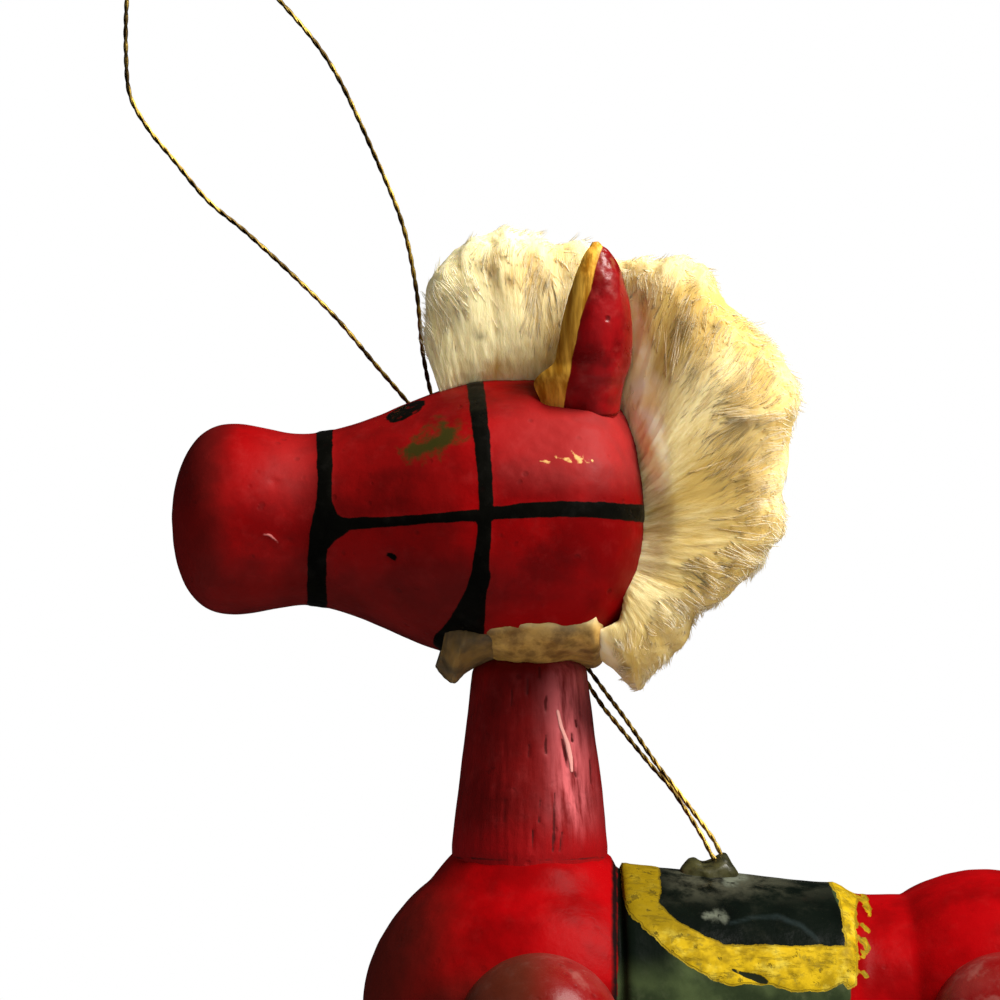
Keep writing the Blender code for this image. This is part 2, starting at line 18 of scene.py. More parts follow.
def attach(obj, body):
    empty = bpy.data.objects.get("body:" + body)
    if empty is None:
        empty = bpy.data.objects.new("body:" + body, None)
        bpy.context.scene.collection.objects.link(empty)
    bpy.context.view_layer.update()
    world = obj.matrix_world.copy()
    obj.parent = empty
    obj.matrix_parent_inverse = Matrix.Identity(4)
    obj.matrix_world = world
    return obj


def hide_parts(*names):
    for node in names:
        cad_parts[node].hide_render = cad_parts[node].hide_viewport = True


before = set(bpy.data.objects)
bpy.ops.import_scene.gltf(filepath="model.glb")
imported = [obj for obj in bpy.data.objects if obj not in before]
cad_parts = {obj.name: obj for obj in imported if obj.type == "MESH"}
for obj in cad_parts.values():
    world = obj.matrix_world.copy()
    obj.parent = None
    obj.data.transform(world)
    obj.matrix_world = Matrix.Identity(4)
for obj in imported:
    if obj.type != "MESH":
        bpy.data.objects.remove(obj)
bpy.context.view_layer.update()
MM = 0.001
print("nodes:", len(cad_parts))

# %% [markdown]
# ## The camera
# The ornament was photographed from its left side, level with the head and about 22 cm away. A long
# lens gives the same narrow view. All painted lines are laid out as this side view shows them.

# %% Camera
EYE = np.array((-12.6, -225.0, 77.25))      # in millimetres
camera = bpy.data.objects.new("camera", bpy.data.cameras.new("camera"))
bpy.context.scene.collection.objects.link(camera)
camera.location = EYE * MM
camera.rotation_euler = (pi / 2, 0, 0)
camera.data.sensor_width = 36
camera.data.lens = 108
camera.data.clip_start = 0.01
bpy.context.scene.camera = camera
bpy.context.scene.view_settings.view_transform = "Standard"
print("camera", tuple(camera.location))

# %% [markdown]
# ## Helpers for node trees
# A node tree takes many lines when each node is made by hand. These few helpers add a node, fill its
# %% Node helpers
def feed(tree, socket, value):
    """Links a socket to another one, or gives it a plain value. A colour of three values is opaque."""
    if isinstance(value, bpy.types.NodeSocket):
        tree.links.new(value, socket)
    elif socket.type == "RGBA" and len(value) == 3:
        socket.default_value = (*value, 1)
    else:
        socket.default_value = value


def put(tree, kind, inputs=None, **settings):
    """Adds a node, sets its settings and fills its inputs, by socket name or number."""
    node = tree.nodes.new(kind)
    for key, value in settings.items():
        setattr(node, key, value)
    for key, value in (inputs or {}).items():
        feed(tree, node.inputs[key], value)
    return node


def new_group(name, kind, ins, outs):
    """A node group with its sockets, and the two nodes at its ends."""
    tree = bpy.data.node_groups.new(name, kind)
    for way, sockets in (("INPUT", ins), ("OUTPUT", outs)):
        for label, sort, *value in sockets:
            socket = tree.interface.new_socket(name=label, in_out=way, socket_type="NodeSocket" + sort)
            if value:
                socket.default_value = value[0]
    return tree, tree.nodes.new("NodeGroupInput").outputs, tree.nodes.new("NodeGroupOutput").inputs


print("helpers for any tree:", ", ".join(helper.__name__ for helper in (feed, put, new_group)))

# %% Arithmetic in node trees
def calc(tree, operation, *values):
    return put(tree, "ShaderNodeMath", dict(enumerate(values)), operation=operation).outputs[0]


def plus(tree, a, b):
    return calc(tree, "ADD", a, b)


def minus(tree, a, b):
    return calc(tree, "SUBTRACT", a, b)


def times(tree, a, b):
    return calc(tree, "MULTIPLY", a, b)


def vector_calc(tree, operation, a, b):
    return put(tree, "ShaderNodeVectorMath", {0: a, 1: b}, operation=operation).outputs[0]


def scaled(tree, vector, scale):
    return put(tree, "ShaderNodeVectorMath", {0: vector, "Scale": scale}, operation="SCALE").outputs[0]


def between(tree, value, low, high, start=0.0, end=1.0):
    """Goes smoothly from start to end as value goes from low to high."""
    ends = {"Value": value, "From Min": low, "From Max": high, "To Min": start, "To Max": end}
    return put(tree, "ShaderNodeMapRange", ends, interpolation_type="SMOOTHSTEP").outputs[0]


print("steps of arithmetic:", ", ".join(step.__name__ for step in (plus, minus, times, scaled, between)))

# %% Colours and patterns in node trees
def mixed(tree, factor, a, b):
    """Two colours mixed."""
    return put(tree, "ShaderNodeMix", {0: factor, 6: a, 7: b}, data_type="RGBA").outputs[2]


def object_place(tree):
    """Where a point lies on the object, so that a pattern stays on its piece from every side."""
    return put(tree, "ShaderNodeTexCoord").outputs["Object"]


def stretched(tree, scale):
    """The same place, squeezed so that a pattern runs long in one direction, like grain."""
    return put(tree, "ShaderNodeMapping", {0: object_place(tree), "Scale": scale}).outputs[0]


def cloudy(tree, vector, size, detail=3.0, roughness=0.5):
    """Soft noise with blotches of about the given size, in metres."""
    return put(tree, "ShaderNodeTexNoise", {"Vector": vector, "Scale": 1 / size, "Detail": detail,
                                            "Roughness": roughness}).outputs["Fac"]


def noted(tree, name, kind="Fac"):
    """What a mesh keeps for each of its points under this name."""
    return put(tree, "ShaderNodeAttribute", attribute_name=name).outputs[kind]


def bumped(tree, height, distance):
    return put(tree, "ShaderNodeBump", {"Height": height, "Distance": distance}).outputs[0]


print("patterns:", ", ".join(made.__name__ for made in (object_place, stretched, cloudy, noted, bumped)))

# %% [markdown]
# ## Helpers for meshes
# Numpy moves thousands of points at once. `skin` closes a grid of points into a solid form, `ripple`
# is a seeded unevenness, and `note` keeps a value for each point, which a material can read.

# %% Mesh helpers
def face_outwards(mesh):
    """Turns all faces outwards and shades them smoothly."""
    probe = bmesh.new()
    probe.from_mesh(mesh)
    if probe.calc_volume(signed=True) < 0:
        mesh.flip_normals()
    probe.free()
    mesh.shade_smooth()



def skin(name, grid):
    """A closed skin over rows of points, both ends drawn in to the middle of their row."""
    rows, columns = grid.shape[:2]
    points = np.vstack([grid.reshape(-1, 3), grid[:1].mean(1), grid[-1:].mean(1)])
    here = np.arange(rows * columns).reshape(rows, columns)
    beside = np.roll(here, -1, 1)
    quads = np.stack([here[:-1], beside[:-1], beside[1:], here[1:]], -1).reshape(-1, 4).tolist()
    first, last = rows * columns, rows * columns + 1
    fans = [(first, b, a) for a, b in zip(here[0].tolist(), beside[0].tolist())]
    fans += [(last, a, b) for a, b in zip(here[-1].tolist(), beside[-1].tolist())]
    mesh = bpy.data.meshes.new(name)
    mesh.from_pydata(points.tolist(), [], quads + fans)
    face_outwards(mesh)
    return mesh


def read(mesh, what="co"):
    """The points of a mesh, or with what="normal" the way they face."""
    values = np.empty(len(mesh.vertices) * 3)
    mesh.vertices.foreach_get(what, values)
    return values.reshape(-1, 3)


def move(mesh, points):
    mesh.vertices.foreach_set("co", points.ravel())
    mesh.update()

def note(mesh, **values):
    """Keeps a value or a direction for each point, for a material or a node tree to read."""
    for name, value in values.items():
        value = np.asarray(value, float)
        kind, field = ("FLOAT_VECTOR", "vector") if value.ndim == 2 else ("FLOAT", "value")
        mesh.attributes.new(name, kind, "POINT").data.foreach_set(field, value.ravel())


def push_out(mesh, points, facing, rise):
    """Moves each point the way it faces, by a rise in millimetres."""
    move(mesh, points + facing * rise[:, None] * MM)


print("mesh helpers:", ", ".join(helper.__name__ for helper in (skin, read, move, note, push_out)))

# %% Smooth numbers
def ripple(points, size, seed, waves=20):
    """Seeded unevenness of about one size, mostly between -1 and 1."""
    dice = np.random.default_rng(seed)
    total = np.zeros(len(points))
    for _ in range(waves):
        way = dice.normal(size=3)
        way *= 2 * pi / (np.linalg.norm(way) * size * dice.uniform(0.75, 1.35))
        total += np.sin(points @ way + dice.uniform(0, 2 * pi))
    return total / sqrt(waves)


def smooth_rows(rows, shares):
    """Smooth values at shares from 0 to 1 along rows of numbers."""
    rows = np.asarray(rows, float)
    along = np.asarray(shares) * (len(rows) - 1)
    i = np.minimum(along.astype(int), len(rows) - 2)
    t = (along - i)[:, None]
    a, b, c, d = (rows[np.clip(i + k, 0, len(rows) - 1)] for k in (-1, 0, 1, 2))
    return 0.5 * (2 * b + (c - a) * t + (2 * a - 5 * b + 4 * c - d) * t**2 + (3 * b - a - 3 * c + d) * t**3)


def soft(value, low, high):
    """Goes smoothly from 0 to 1 as value goes from low to high."""
    t = np.clip((value - low) / (high - low), 0, 1)
    return t * t * (3 - 2 * t)


print("half way up a soft step:", soft(0.5, 0, 1))

# %% [markdown]
# ## Helpers for painted lines
# The painter's brush left strokes of changing width. A stroke is a path with a half width at each
# point, and what counts is how far a point of the surface is from its edge in the side view. A
# picture laid over the model could do the same, but distances stay sharp at any size.

# %% Painted lines
def seen(points):
    """Where the side view shows each point, in millimetres, with the far side as the near side's mirror."""
    near = -np.abs(points[:, 1]) / MM
    share = (0 - EYE[1]) / (near - EYE[1])
    return np.stack([EYE[i] + (points[:, i] / MM - EYE[i]) * share for i in (0, 2)], 1)


def stroke(at, path):
    """Millimetres from the edge of a brush stroke, below 0 inside. Its path is (x, z, half width) rows."""
    nearest = np.full(len(at), 99.0)
    for (ax, az, aw), (bx, bz, bw) in zip(path, path[1:]):
        along = np.array((bx - ax, bz - az))
        t = np.clip(((at - (ax, az)) @ along) / (along @ along), 0, 1)
        off = np.linalg.norm(at - (ax, az) - t[:, None] * along, axis=1)
        nearest = np.minimum(nearest, off - (aw + (bw - aw) * t))
    return nearest


def patch(at, outline):
    """Millimetres from the edge of a painted patch, less than 0 inside."""
    ring = outline + outline[:1]
    nearest = stroke(at, [(x, z, 0) for x, z in ring])
    inside = np.zeros(len(at), bool)
    for (ax, az), (bx, bz) in zip(ring, ring[1:]):
        if az != bz:
            crosses = (az > at[:, 1]) != (bz > at[:, 1])
            inside ^= crosses & (at[:, 0] < ax + (at[:, 1] - az) * (bx - ax) / (bz - az))
    return np.where(inside, -nearest, nearest)


def strokes(at, paths):
    """The same for several strokes together."""
    return np.minimum.reduce([stroke(at, path) for path in paths])


def spot(at, x, z, wide, high):
    """A soft spot, 1 in its middle and fading outwards."""
    return np.exp(-(((at[:, 0] - x) / wide) ** 2 + ((at[:, 1] - z) / high) ** 2))


def surface(mesh):
    """A mesh's points, the way they face, where the side view shows them, and the points in millimetres."""
    points = read(mesh)
    return points, read(mesh, "normal"), seen(points), points / MM


print("middle of the side view:", seen(np.array([(EYE[0] * MM, 0, EYE[2] * MM)])))

# %% [markdown]
# ## Shared paint effects
# Old brush paint is never one colour. It is blotchy, thin in places, pitted and a little dusty. The
# node groups below hold these effects once, and each paint uses them with values of its own.

# %% Shader group: old paint
def make_old_paint():
    tree, ins, outs = new_group("Old paint", "ShaderNodeTree", [
        ("Colour", "Color"), ("Deep colour", "Color"), ("Dusty colour", "Color"),
        ("Blotch size", "Float", 0.006), ("Dust", "Float", 0.3), ("Pits", "Float", 0.5),
        ("Roughness", "Float", 0.35),
    ], [("Colour", "Color"), ("Roughness", "Float"), ("Height", "Float")])
    at = object_place(tree)
    blotches = put(tree, "ShaderNodeTexNoise", {
        "Vector": at, "Scale": calc(tree, "DIVIDE", 1.0, ins["Blotch size"]), "Detail": 5.0,
        "Roughness": 0.55}).outputs[0]
    colour = mixed(tree, between(tree, blotches, 0.36, 0.62), ins["Deep colour"], ins["Colour"])
    dusty = times(tree, between(tree, cloudy(tree, at, 0.0016, 6.0, 0.65), 0.5, 0.72), ins["Dust"])
    colour = mixed(tree, dusty, colour, ins["Dusty colour"])
    cells = put(tree, "ShaderNodeTexVoronoi", {"Vector": at, "Scale": 900.0}).outputs["Distance"]
    here = between(tree, cloudy(tree, at, 0.0021, 2.0), 0.55, 0.66)
    pits = times(tree, times(tree, between(tree, cells, 0.30, 0.12), here), ins["Pits"])
    colour = mixed(tree, times(tree, pits, 0.6), colour, (0.012, 0.002, 0.002))
    rough = plus(tree, ins["Roughness"], times(tree, minus(tree, blotches, 0.5), 0.35))
    feed(tree, outs["Colour"], colour)
    feed(tree, outs["Roughness"], plus(tree, rough, times(tree, dusty, 0.25)))
    feed(tree, outs["Height"], minus(tree, cloudy(tree, at, 0.0012, 3.0), pits))
    return tree


OLD_PAINT = make_old_paint()


def old_paint(tree, colour, deep, dusty, size=0.006, dust=0.3, pits=0.5, rough=0.35):
    """A look: the colour, roughness and height that the group gives for these values."""
    values = dict(enumerate((colour, deep, dusty, size, dust, pits, rough)))
    return tuple(put(tree, "ShaderNodeGroup", values, node_tree=OLD_PAINT).outputs)


print("old paint nodes:", len(OLD_PAINT.nodes))

# %% Shader group: painted edge
def make_painted_edge():
    """Turns a distance from a painted line's edge into a mask with a hand-painted, slightly worn edge."""
    tree, ins, outs = new_group("Painted edge", "ShaderNodeTree", [
        ("Distance", "Float"), ("Wobble", "Float", 0.12), ("Softness", "Float", 0.04), ("Wear", "Float", 0.0),
    ], [("Mask", "Float"), ("Rim", "Float")])
    at = object_place(tree)
    wobble = times(tree, minus(tree, cloudy(tree, at, 0.0011, 4.0, 0.6), 0.5), ins["Wobble"])
    distance = plus(tree, ins["Distance"], times(tree, wobble, 2.0))
    worn = times(tree, between(tree, cloudy(tree, at, 0.0007, 6.0, 0.7), 0.56, 0.64), ins["Wear"])
    mask = between(tree, distance, ins["Softness"], times(tree, ins["Softness"], -1.0))
    feed(tree, outs["Mask"], times(tree, mask, minus(tree, 1.0, worn)))
    feed(tree, outs["Rim"], between(tree, calc(tree, "ABSOLUTE", plus(tree, distance, 0.08)), 0.09, 0.02))
    return tree


PAINTED_EDGE = make_painted_edge()


def edge_of(tree, name, wobble=0.12, softness=0.04, wear=0.0):
    """The mask and the rim of a painted line that a mesh keeps the distance of."""
    values = dict(enumerate((noted(tree, name), wobble, softness, wear)))
    return put(tree, "ShaderNodeGroup", values, node_tree=PAINTED_EDGE).outputs


def painted(tree, name, *edge):
    return edge_of(tree, name, *edge)[0]


print("painted edge nodes:", len(PAINTED_EDGE.nodes))

# %% Material helpers
def new_material(name, specular, **values):
    """A material with its Principled shader, whose unvarying values are set on the shader itself."""
    made = bpy.data.materials.new(name)
    made.use_nodes = True
    inputs = made.node_tree.nodes["Principled BSDF"].inputs
    inputs["Specular IOR Level"].default_value = specular
    for key, value in values.items():
        inputs[key.replace("_", " ")].default_value = value
    return made, made.node_tree, inputs


def tinted(tree, look, mask, colour, share=1.0):
    """Stains a paint through a mask and leaves its gloss and its height."""
    return (mixed(tree, times(tree, mask, share), look[0], colour), *look[1:])


def layer(tree, look, mask, over):
    """Lays a second paint over the first: colour, roughness and height."""
    rough, height = (plus(tree, under, times(tree, mask, minus(tree, top, under)))
                     for under, top in zip(look[1:], over[1:]))
    return mixed(tree, mask, look[0], over[0]), rough, height


def finish(tree, inputs, look, depth):
    """Joins a look to its shader. Its height becomes bumps of this depth, in metres."""
    feed(tree, inputs["Base Color"], look[0])
    feed(tree, inputs["Roughness"], look[1])
    feed(tree, inputs["Normal"], bumped(tree, look[2], depth))


print("a paint is a colour, a roughness and a height")

# %% [markdown]
# ## Red paint
# One red covers the wood. On the head it is crossed by the black bridle, the worn eye, a dark green
# smudge, a painted highlight, painted shade and a few pale gold flecks painted as glints. The masks
# come from distances that each mesh keeps for its points.

# %% Paint colours, each with its deep and its dusty shade
RED = ((0.27, 0.0010, 0.0020), (0.16, 0.0010, 0.0015), (0.36, 0.04, 0.035))
DEEP_RED = ((0.245, 0.0008, 0.0014), (0.13, 0.0007, 0.0011), (0.36, 0.03, 0.028))
BLACK = ((0.003, 0.0028, 0.002), (0.002, 0.002, 0.0015), (0.03, 0.028, 0.024))
GREEN = ((0.042, 0.058, 0.022), (0.016, 0.024, 0.010), (0.12, 0.13, 0.07))
GOLD = ((0.44, 0.29, 0.007), (0.24, 0.155, 0.004), (0.64, 0.52, 0.07))
HOLLOW = 0.00006     # how deep the paint's unevenness is, in metres
print("paints with three shades each: red, deep red, black, green and gold")

# %% Head paint
def make_head_paint():
    made, tree, inputs = new_material("red_head_paint", 0.045)
    look = old_paint(tree, *DEEP_RED, dust=0.12, pits=0.5, rough=0.46)
    look = tinted(tree, look, noted(tree, "shade"), (0.07, 0.006, 0.005), 0.85)
    # painted highlight: a paler, pinker sheen high on the cheeks and on the muzzle
    look = tinted(tree, look, noted(tree, "rosy"), (0.30, 0.045, 0.042), 0.3)
    smudge = times(tree, painted(tree, "smudge", 2.2, 0.7), 0.9)
    look = layer(tree, look, smudge, ((0.014, 0.026, 0.004), 0.5, 0.5))
    # pale gold flecks, painted as glints in the highlight
    look = layer(tree, look, painted(tree, "flecks", 0.45, 0.07), ((0.62, 0.36, 0.12), 0.35, 0.7))
    look = layer(tree, look, painted(tree, "scuff", 0.1, 0.05), ((0.48, 0.14, 0.13), 0.4, 0.8))
    black = old_paint(tree, *BLACK, size=0.003, dust=0.1, pits=0.3, rough=0.30)
    for line in (("bridle", 0.14, 0.05), ("eye", 0.3, 0.06, 0.5)):
        look = layer(tree, look, painted(tree, *line), black)
    finish(tree, inputs, look, HOLLOW)
    return made


HEAD_PAINT = make_head_paint()
print(HEAD_PAINT.name, len(HEAD_PAINT.node_tree.nodes), "nodes")

# %% [markdown]
# ## The saddle's paints
# The saddle is a green cloth, a nearly black seat and a gold hem, all brushed over the red. Each could
# be a material on faces of its own, but then its edge would follow the faces. Layers in one material,
# each with its own mask, let a brushed edge wander freely.

# %% Seat and gold
def seat_paint(tree):
    """Nearly black green, worn grey along the top, with a faint painted highlight in an arc."""
    seat = old_paint(tree, (0.003, 0.0048, 0.0033), (0.0015, 0.0023, 0.0018), (0.12, 0.115, 0.08), size=0.005,
                     dust=0.04, pits=0.2, rough=0.24)
    clouds = between(tree, cloudy(tree, object_place(tree), 0.0022, 6.0, 0.65), 0.38, 0.62)
    seat = tinted(tree, seat, times(tree, noted(tree, "worn_top"), clouds), (0.075, 0.075, 0.05), 0.8)
    # painted highlight: a faint pale arc across the seat
    return tinted(tree, seat, painted(tree, "arc", 0.2, 0.2), (0.020, 0.030, 0.030), 0.5)


def gold_paint(tree):
    """Thick old gold with brush streaks, dark spots, a thin dark rim and painted shade at its upper front."""
    gold = old_paint(tree, *GOLD, size=0.0011, dust=0.5, pits=0.4, rough=0.40)
    streaks = between(tree, cloudy(tree, stretched(tree, (0.25, 1.0, 1.0)), 0.00045, 5.0, 0.65), 0.52, 0.66)
    spots = between(tree, cloudy(tree, object_place(tree), 0.0009, 4.0, 0.6), 0.60, 0.68)
    marks = calc(tree, "MAXIMUM", times(tree, streaks, 0.4), times(tree, spots, 0.7))
    marks = calc(tree, "MAXIMUM", marks, times(tree, edge_of(tree, "gold", 0.3, 0.04)[1], 0.45))
    # painted shade: the gold is darker at its upper front
    gold = tinted(tree, gold, noted(tree, "old_gold"), (0.15, 0.10, 0.003), 0.85)
    colour, rough, height = tinted(tree, gold, marks, (0.055, 0.040, 0.006))
    return colour, rough, minus(tree, height, marks)


print("the gold has streaks, spots and a rim")

# %% Body paint
def make_body_paint():
    made, tree, inputs = new_material("red_body_paint", 0.014)
    look = old_paint(tree, *RED, dust=0.04, pits=0.2, rough=0.34)
    look = tinted(tree, look, noted(tree, "shade"), (0.055, 0.012, 0.008), 0.8)
    # painted shade: the groove behind the chest and the crease at the neck's foot are darkened
    look = layer(tree, look, painted(tree, "groove", 0.15, 0.15), ((0.008, 0.003, 0.003), 0.5, 0.5))
    green = old_paint(tree, *GREEN, size=0.004, dust=0.2, pits=0.4, rough=0.38)
    green = tinted(tree, green, noted(tree, "strip"), (0.0015, 0.003, 0.0022))
    look = layer(tree, look, painted(tree, "cloth", 0.12, 0.05), green)
    look = layer(tree, look, painted(tree, "seat", 0.1, 0.05), seat_paint(tree))
    look = layer(tree, look, painted(tree, "gold", 0.3, 0.04, 0.35), gold_paint(tree))
    look = layer(tree, look, painted(tree, "chip", 0.2, 0.04), ((0.01, 0.012, 0.006), 0.5, 0.1))
    look = layer(tree, look, painted(tree, "scuff", 0.9, 0.4, 0.8), ((0.105, 0.115, 0.085), 0.5, 0.7))
    finish(tree, inputs, look, HOLLOW)
    return made


BODY_PAINT = make_body_paint()
print(BODY_PAINT.name, len(BODY_PAINT.node_tree.nodes), "nodes")

# %% Neck paint
def make_neck_paint():
    """The neck's paint is drier and dusty, follows the open grain of the wood, and has a painted highlight
    down its right side.
    """
    made, tree, inputs = new_material("dusty_red_neck_paint", 0.13)
    look = old_paint(tree, (0.15, 0.003, 0.003), (0.085, 0.002, 0.002), (0.24, 0.025, 0.024),
                     dust=0.2, pits=0.5, rough=0.46)
    grain = stretched(tree, (1.0, 1.0, 0.12))
    lines = cloudy(tree, grain, 0.00035, 3.0, 0.6)
    # painted highlight down the right of the neck, broken up by the grain
    rosy = times(tree, noted(tree, "rosy"), between(tree, cloudy(tree, grain, 0.0012, 5.0, 0.6), 0.32, 0.60))
    look = tinted(tree, look, rosy, (0.62, 0.13, 0.14))
    look = tinted(tree, look, noted(tree, "low"), (0.22, 0.002, 0.003))
    dark_lines = between(tree, lines, 0.62, 0.80, 0.0, 0.2)
    colour, rough, height = tinted(tree, look, dark_lines, (0.07, 0.004, 0.004))
    look = colour, rough, plus(tree, height, times(tree, lines, -0.4))
    # the cracks, and painted shade in the crease at the neck's foot
    look = layer(tree, look, painted(tree, "crack", 0.12, 0.06), ((0.06, 0.003, 0.003), 0.7, 0.2))
    look = layer(tree, look, painted(tree, "scuff", 0.04, 0.04), ((0.72, 0.32, 0.28), 0.35, 0.9))
    finish(tree, inputs, look, 0.00008)
    return made


NECK_PAINT = make_neck_paint()
print(NECK_PAINT.name, len(NECK_PAINT.node_tree.nodes), "nodes")

# %% Leg and rocker paint
def make_leg_paint():
    made, tree, inputs = new_material("red_leg_paint", 0.10)
    look = old_paint(tree, (0.19, 0.017, 0.015), RED[1], (0.27, 0.11, 0.09), dust=0.35, pits=0.4, rough=0.34)
    look = tinted(tree, look, noted(tree, "shade"), (0.045, 0.014, 0.006), 0.8)
    black = old_paint(tree, *BLACK, size=0.003, dust=0.3, pits=0.3, rough=0.32)
    finish(tree, inputs, layer(tree, look, painted(tree, "hoof", 0.15, 0.06), black), HOLLOW)
    return made


def make_rocker_paint():
    """Green over wood, rubbed away on the edges where the ornament has stood and been handled."""
    made, tree, inputs = new_material("green_rocker_paint", 0.3)
    look = old_paint(tree, (0.014, 0.045, 0.018), (0.007, 0.02, 0.01), (0.12, 0.14, 0.10),
                     size=0.007, dust=0.3, pits=0.5, rough=0.36)
    look = layer(tree, look, painted(tree, "rubbed", 1.2, 0.15, 0.7), ((0.36, 0.19, 0.07), 0.6, 0.2))
    finish(tree, inputs, look, 0.00007)
    return made


LEG_PAINT, ROCKER_PAINT = make_leg_paint(), make_rocker_paint()
print("paints:", len(bpy.data.materials))

# %% [markdown]
# ## The lathe
# Body, head, neck, legs and cross bars are turned pieces: one outline, spun about an axis. A Geometry
# Nodes tree does the turning. It samples the outline evenly and wraps it round, so the rule is the
# same for every piece and only the outline, the number of rows and the number of sides differ.

# %% Geometry Nodes tree: lathe
def end_tree(tree, geometry, ins, outs):
    """The end of each tree here: instances are made real and the material is set."""
    real = put(tree, "GeometryNodeRealizeInstances", {0: geometry}).outputs[0]
    done = put(tree, "GeometryNodeSetMaterial", {"Geometry": real, "Material": ins["Material"]}).outputs[0]
    feed(tree, outs[0], done)
    return tree


def make_lathe():
    tree, ins, outs = new_group("Lathe", "GeometryNodeTree", [
        ("Outline", "Geometry"), ("Rows", "Int", 100), ("Sides", "Int", 64), ("Material", "Material"),
    ], [("Turned", "Geometry")])
    outline = put(tree, "GeometryNodeMeshToCurve", {0: ins["Outline"]}).outputs[0]
    grid = put(tree, "GeometryNodeMeshGrid", {"Size X": 1.0, "Size Y": 1.0, "Vertices X": ins["Rows"],
                                              "Vertices Y": plus(tree, ins["Sides"], 1.0)})
    place = put(tree, "ShaderNodeSeparateXYZ", {0: put(tree, "GeometryNodeInputPosition").outputs[0]}).outputs
    sample = put(tree, "GeometryNodeSampleCurve", {"Curves": outline, "Factor": plus(tree, place[0], 0.5)},
                 mode="FACTOR")
    at = put(tree, "ShaderNodeSeparateXYZ", {0: sample.outputs["Position"]}).outputs
    angle = times(tree, place[1], 2 * pi)
    turned = put(tree, "ShaderNodeCombineXYZ", {
        0: times(tree, at[0], calc(tree, "COSINE", angle)),
        1: times(tree, at[0], calc(tree, "SINE", angle)), 2: at[2]}).outputs[0]
    wrapped = put(tree, "GeometryNodeSetPosition", {"Geometry": grid.outputs["Mesh"], "Position": turned})
    closed = put(tree, "GeometryNodeMergeByDistance",
                 {"Geometry": wrapped.outputs[0], "Distance": 1e-7}).outputs[0]
    return end_tree(tree, closed, ins, outs)


LATHE = make_lathe()
print("lathe nodes:", len(LATHE.nodes))

# %% Growing and turning a mesh
def grown(name, source, tree, **values):
    """The plain mesh that a node tree makes from a source mesh."""
    holder = bpy.data.objects.new(name + "_source", source)
    bpy.context.scene.collection.objects.link(holder)
    modifier = holder.modifiers.new(tree.name, "NODES")
    modifier.node_group = tree
    for item in tree.interface.items_tree:
        if item.in_out == "INPUT" and item.name.replace(" ", "_") in values:
            modifier[item.identifier] = values[item.name.replace(" ", "_")]
    bpy.context.view_layer.update()
    mesh = bpy.data.meshes.new_from_object(holder.evaluated_get(bpy.context.evaluated_depsgraph_get()))
    mesh.name = name
    holder.modifiers.remove(modifier)
    bpy.data.objects.remove(holder)
    return mesh


def turned(name, outline, rows, sides, material):
    """A turned mesh about its own Z axis, from (height, radius) pairs in millimetres."""
    source = bpy.data.meshes.new(name + "_outline")
    edges = [(i, i + 1) for i in range(len(outline) - 1)]
    source.from_pydata([(r * MM, 0, h * MM) for h, r in outline], edges, [])
    mesh = grown(name, source, LATHE, Rows=rows, Sides=sides, Material=material)
    face_outwards(mesh)
    return mesh


def lay_along_x(mesh, z):
    mesh.transform(Matrix.Translation((0, 0, z * MM)) @ Matrix.Rotation(pi / 2, 4, "Y"))


print("turned about Z, then laid along X")

# %% Keeping a piece
PIECES = []


def keep(name, mesh, slot, *nodes):
    """Puts a finished mesh in the scene as a piece that stands for these CAD nodes."""
    piece = bpy.data.objects.new(name, mesh)
    bpy.context.scene.collection.objects.link(piece)
    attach(piece, "root")
    if nodes:
        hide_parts(*nodes)
    PIECES.append(piece)
    print(name, sum(len(face.vertices) - 2 for face in mesh.polygons), "triangles")
    return piece


print("pieces so far:", len(PIECES))

# %% [markdown]
# ## The thread
# A thin gold thread of two twisted plies comes out of the glue, passes the head on its far side and
# goes round in a loop. It is stiff and light, so the loop stands up by itself. The route's points are
# the CAD's own, with one more at each end inside the glue, and a node tree winds both plies around it.

# %% Thread route
THREAD_ROUTE = [
    (3.75, -0.15, 50.0), (3.2, -0.15, 50.75), (2.4, 0.1, 52.3), (0.4, 1.3, 55.4), (-1.2, 2.4, 57.2),
    (-3.9, 5.2, 60.4),
    (-5.0, 6.8, 61.8), (-7.9, 10.4, 66.3), (-10.2, 12.0, 70.9), (-13.0, 12.2, 76.1), (-16.1, 10.8, 80.4),
    (-19.9, 6.4, 85.0), (-22.3, 5.0, 87.8), (-24.9, 4.0, 90.9), (-28.1, 3.0, 94.1), (-31.8, 2.2, 97.5),
    (-34.7, 1.7, 99.9), (-37.2, 1.2, 102.9), (-39.0, 0.9, 105.1), (-40.4, 0.7, 107.6), (-40.7, 0.4, 110.6),
    (-40.6, 0.1, 114.8), (-40.0, 0.0, 118.6), (-37.6, 0.0, 121.3), (-34.8, 0.1, 120.2), (-32.0, 0.2, 117.8),
    (-29.2, 0.3, 114.8), (-26.6, 0.6, 111.8), (-24.7, 1.0, 108.9), (-22.6, 1.8, 104.5), (-20.1, 3.0, 98.5),
    (-19.0, 4.4, 93.3), (-18.5, 6.2, 88.2), (-17.3, 9.2, 83.5), (-14.2, 12.3, 77.2), (-9.0, 12.4, 68.6),
    (-5.0, 9.0, 63.1), (-2.8, 5.8, 60.2), (-0.7, 2.9, 57.2), (0.8, 1.8, 55.3), (3.2, 0.4, 52.1),
    (3.95, 0.15, 50.75), (4.5, 0.1, 49.9),
]
route = smooth_rows(THREAD_ROUTE, np.linspace(0, 1, 400)) * MM

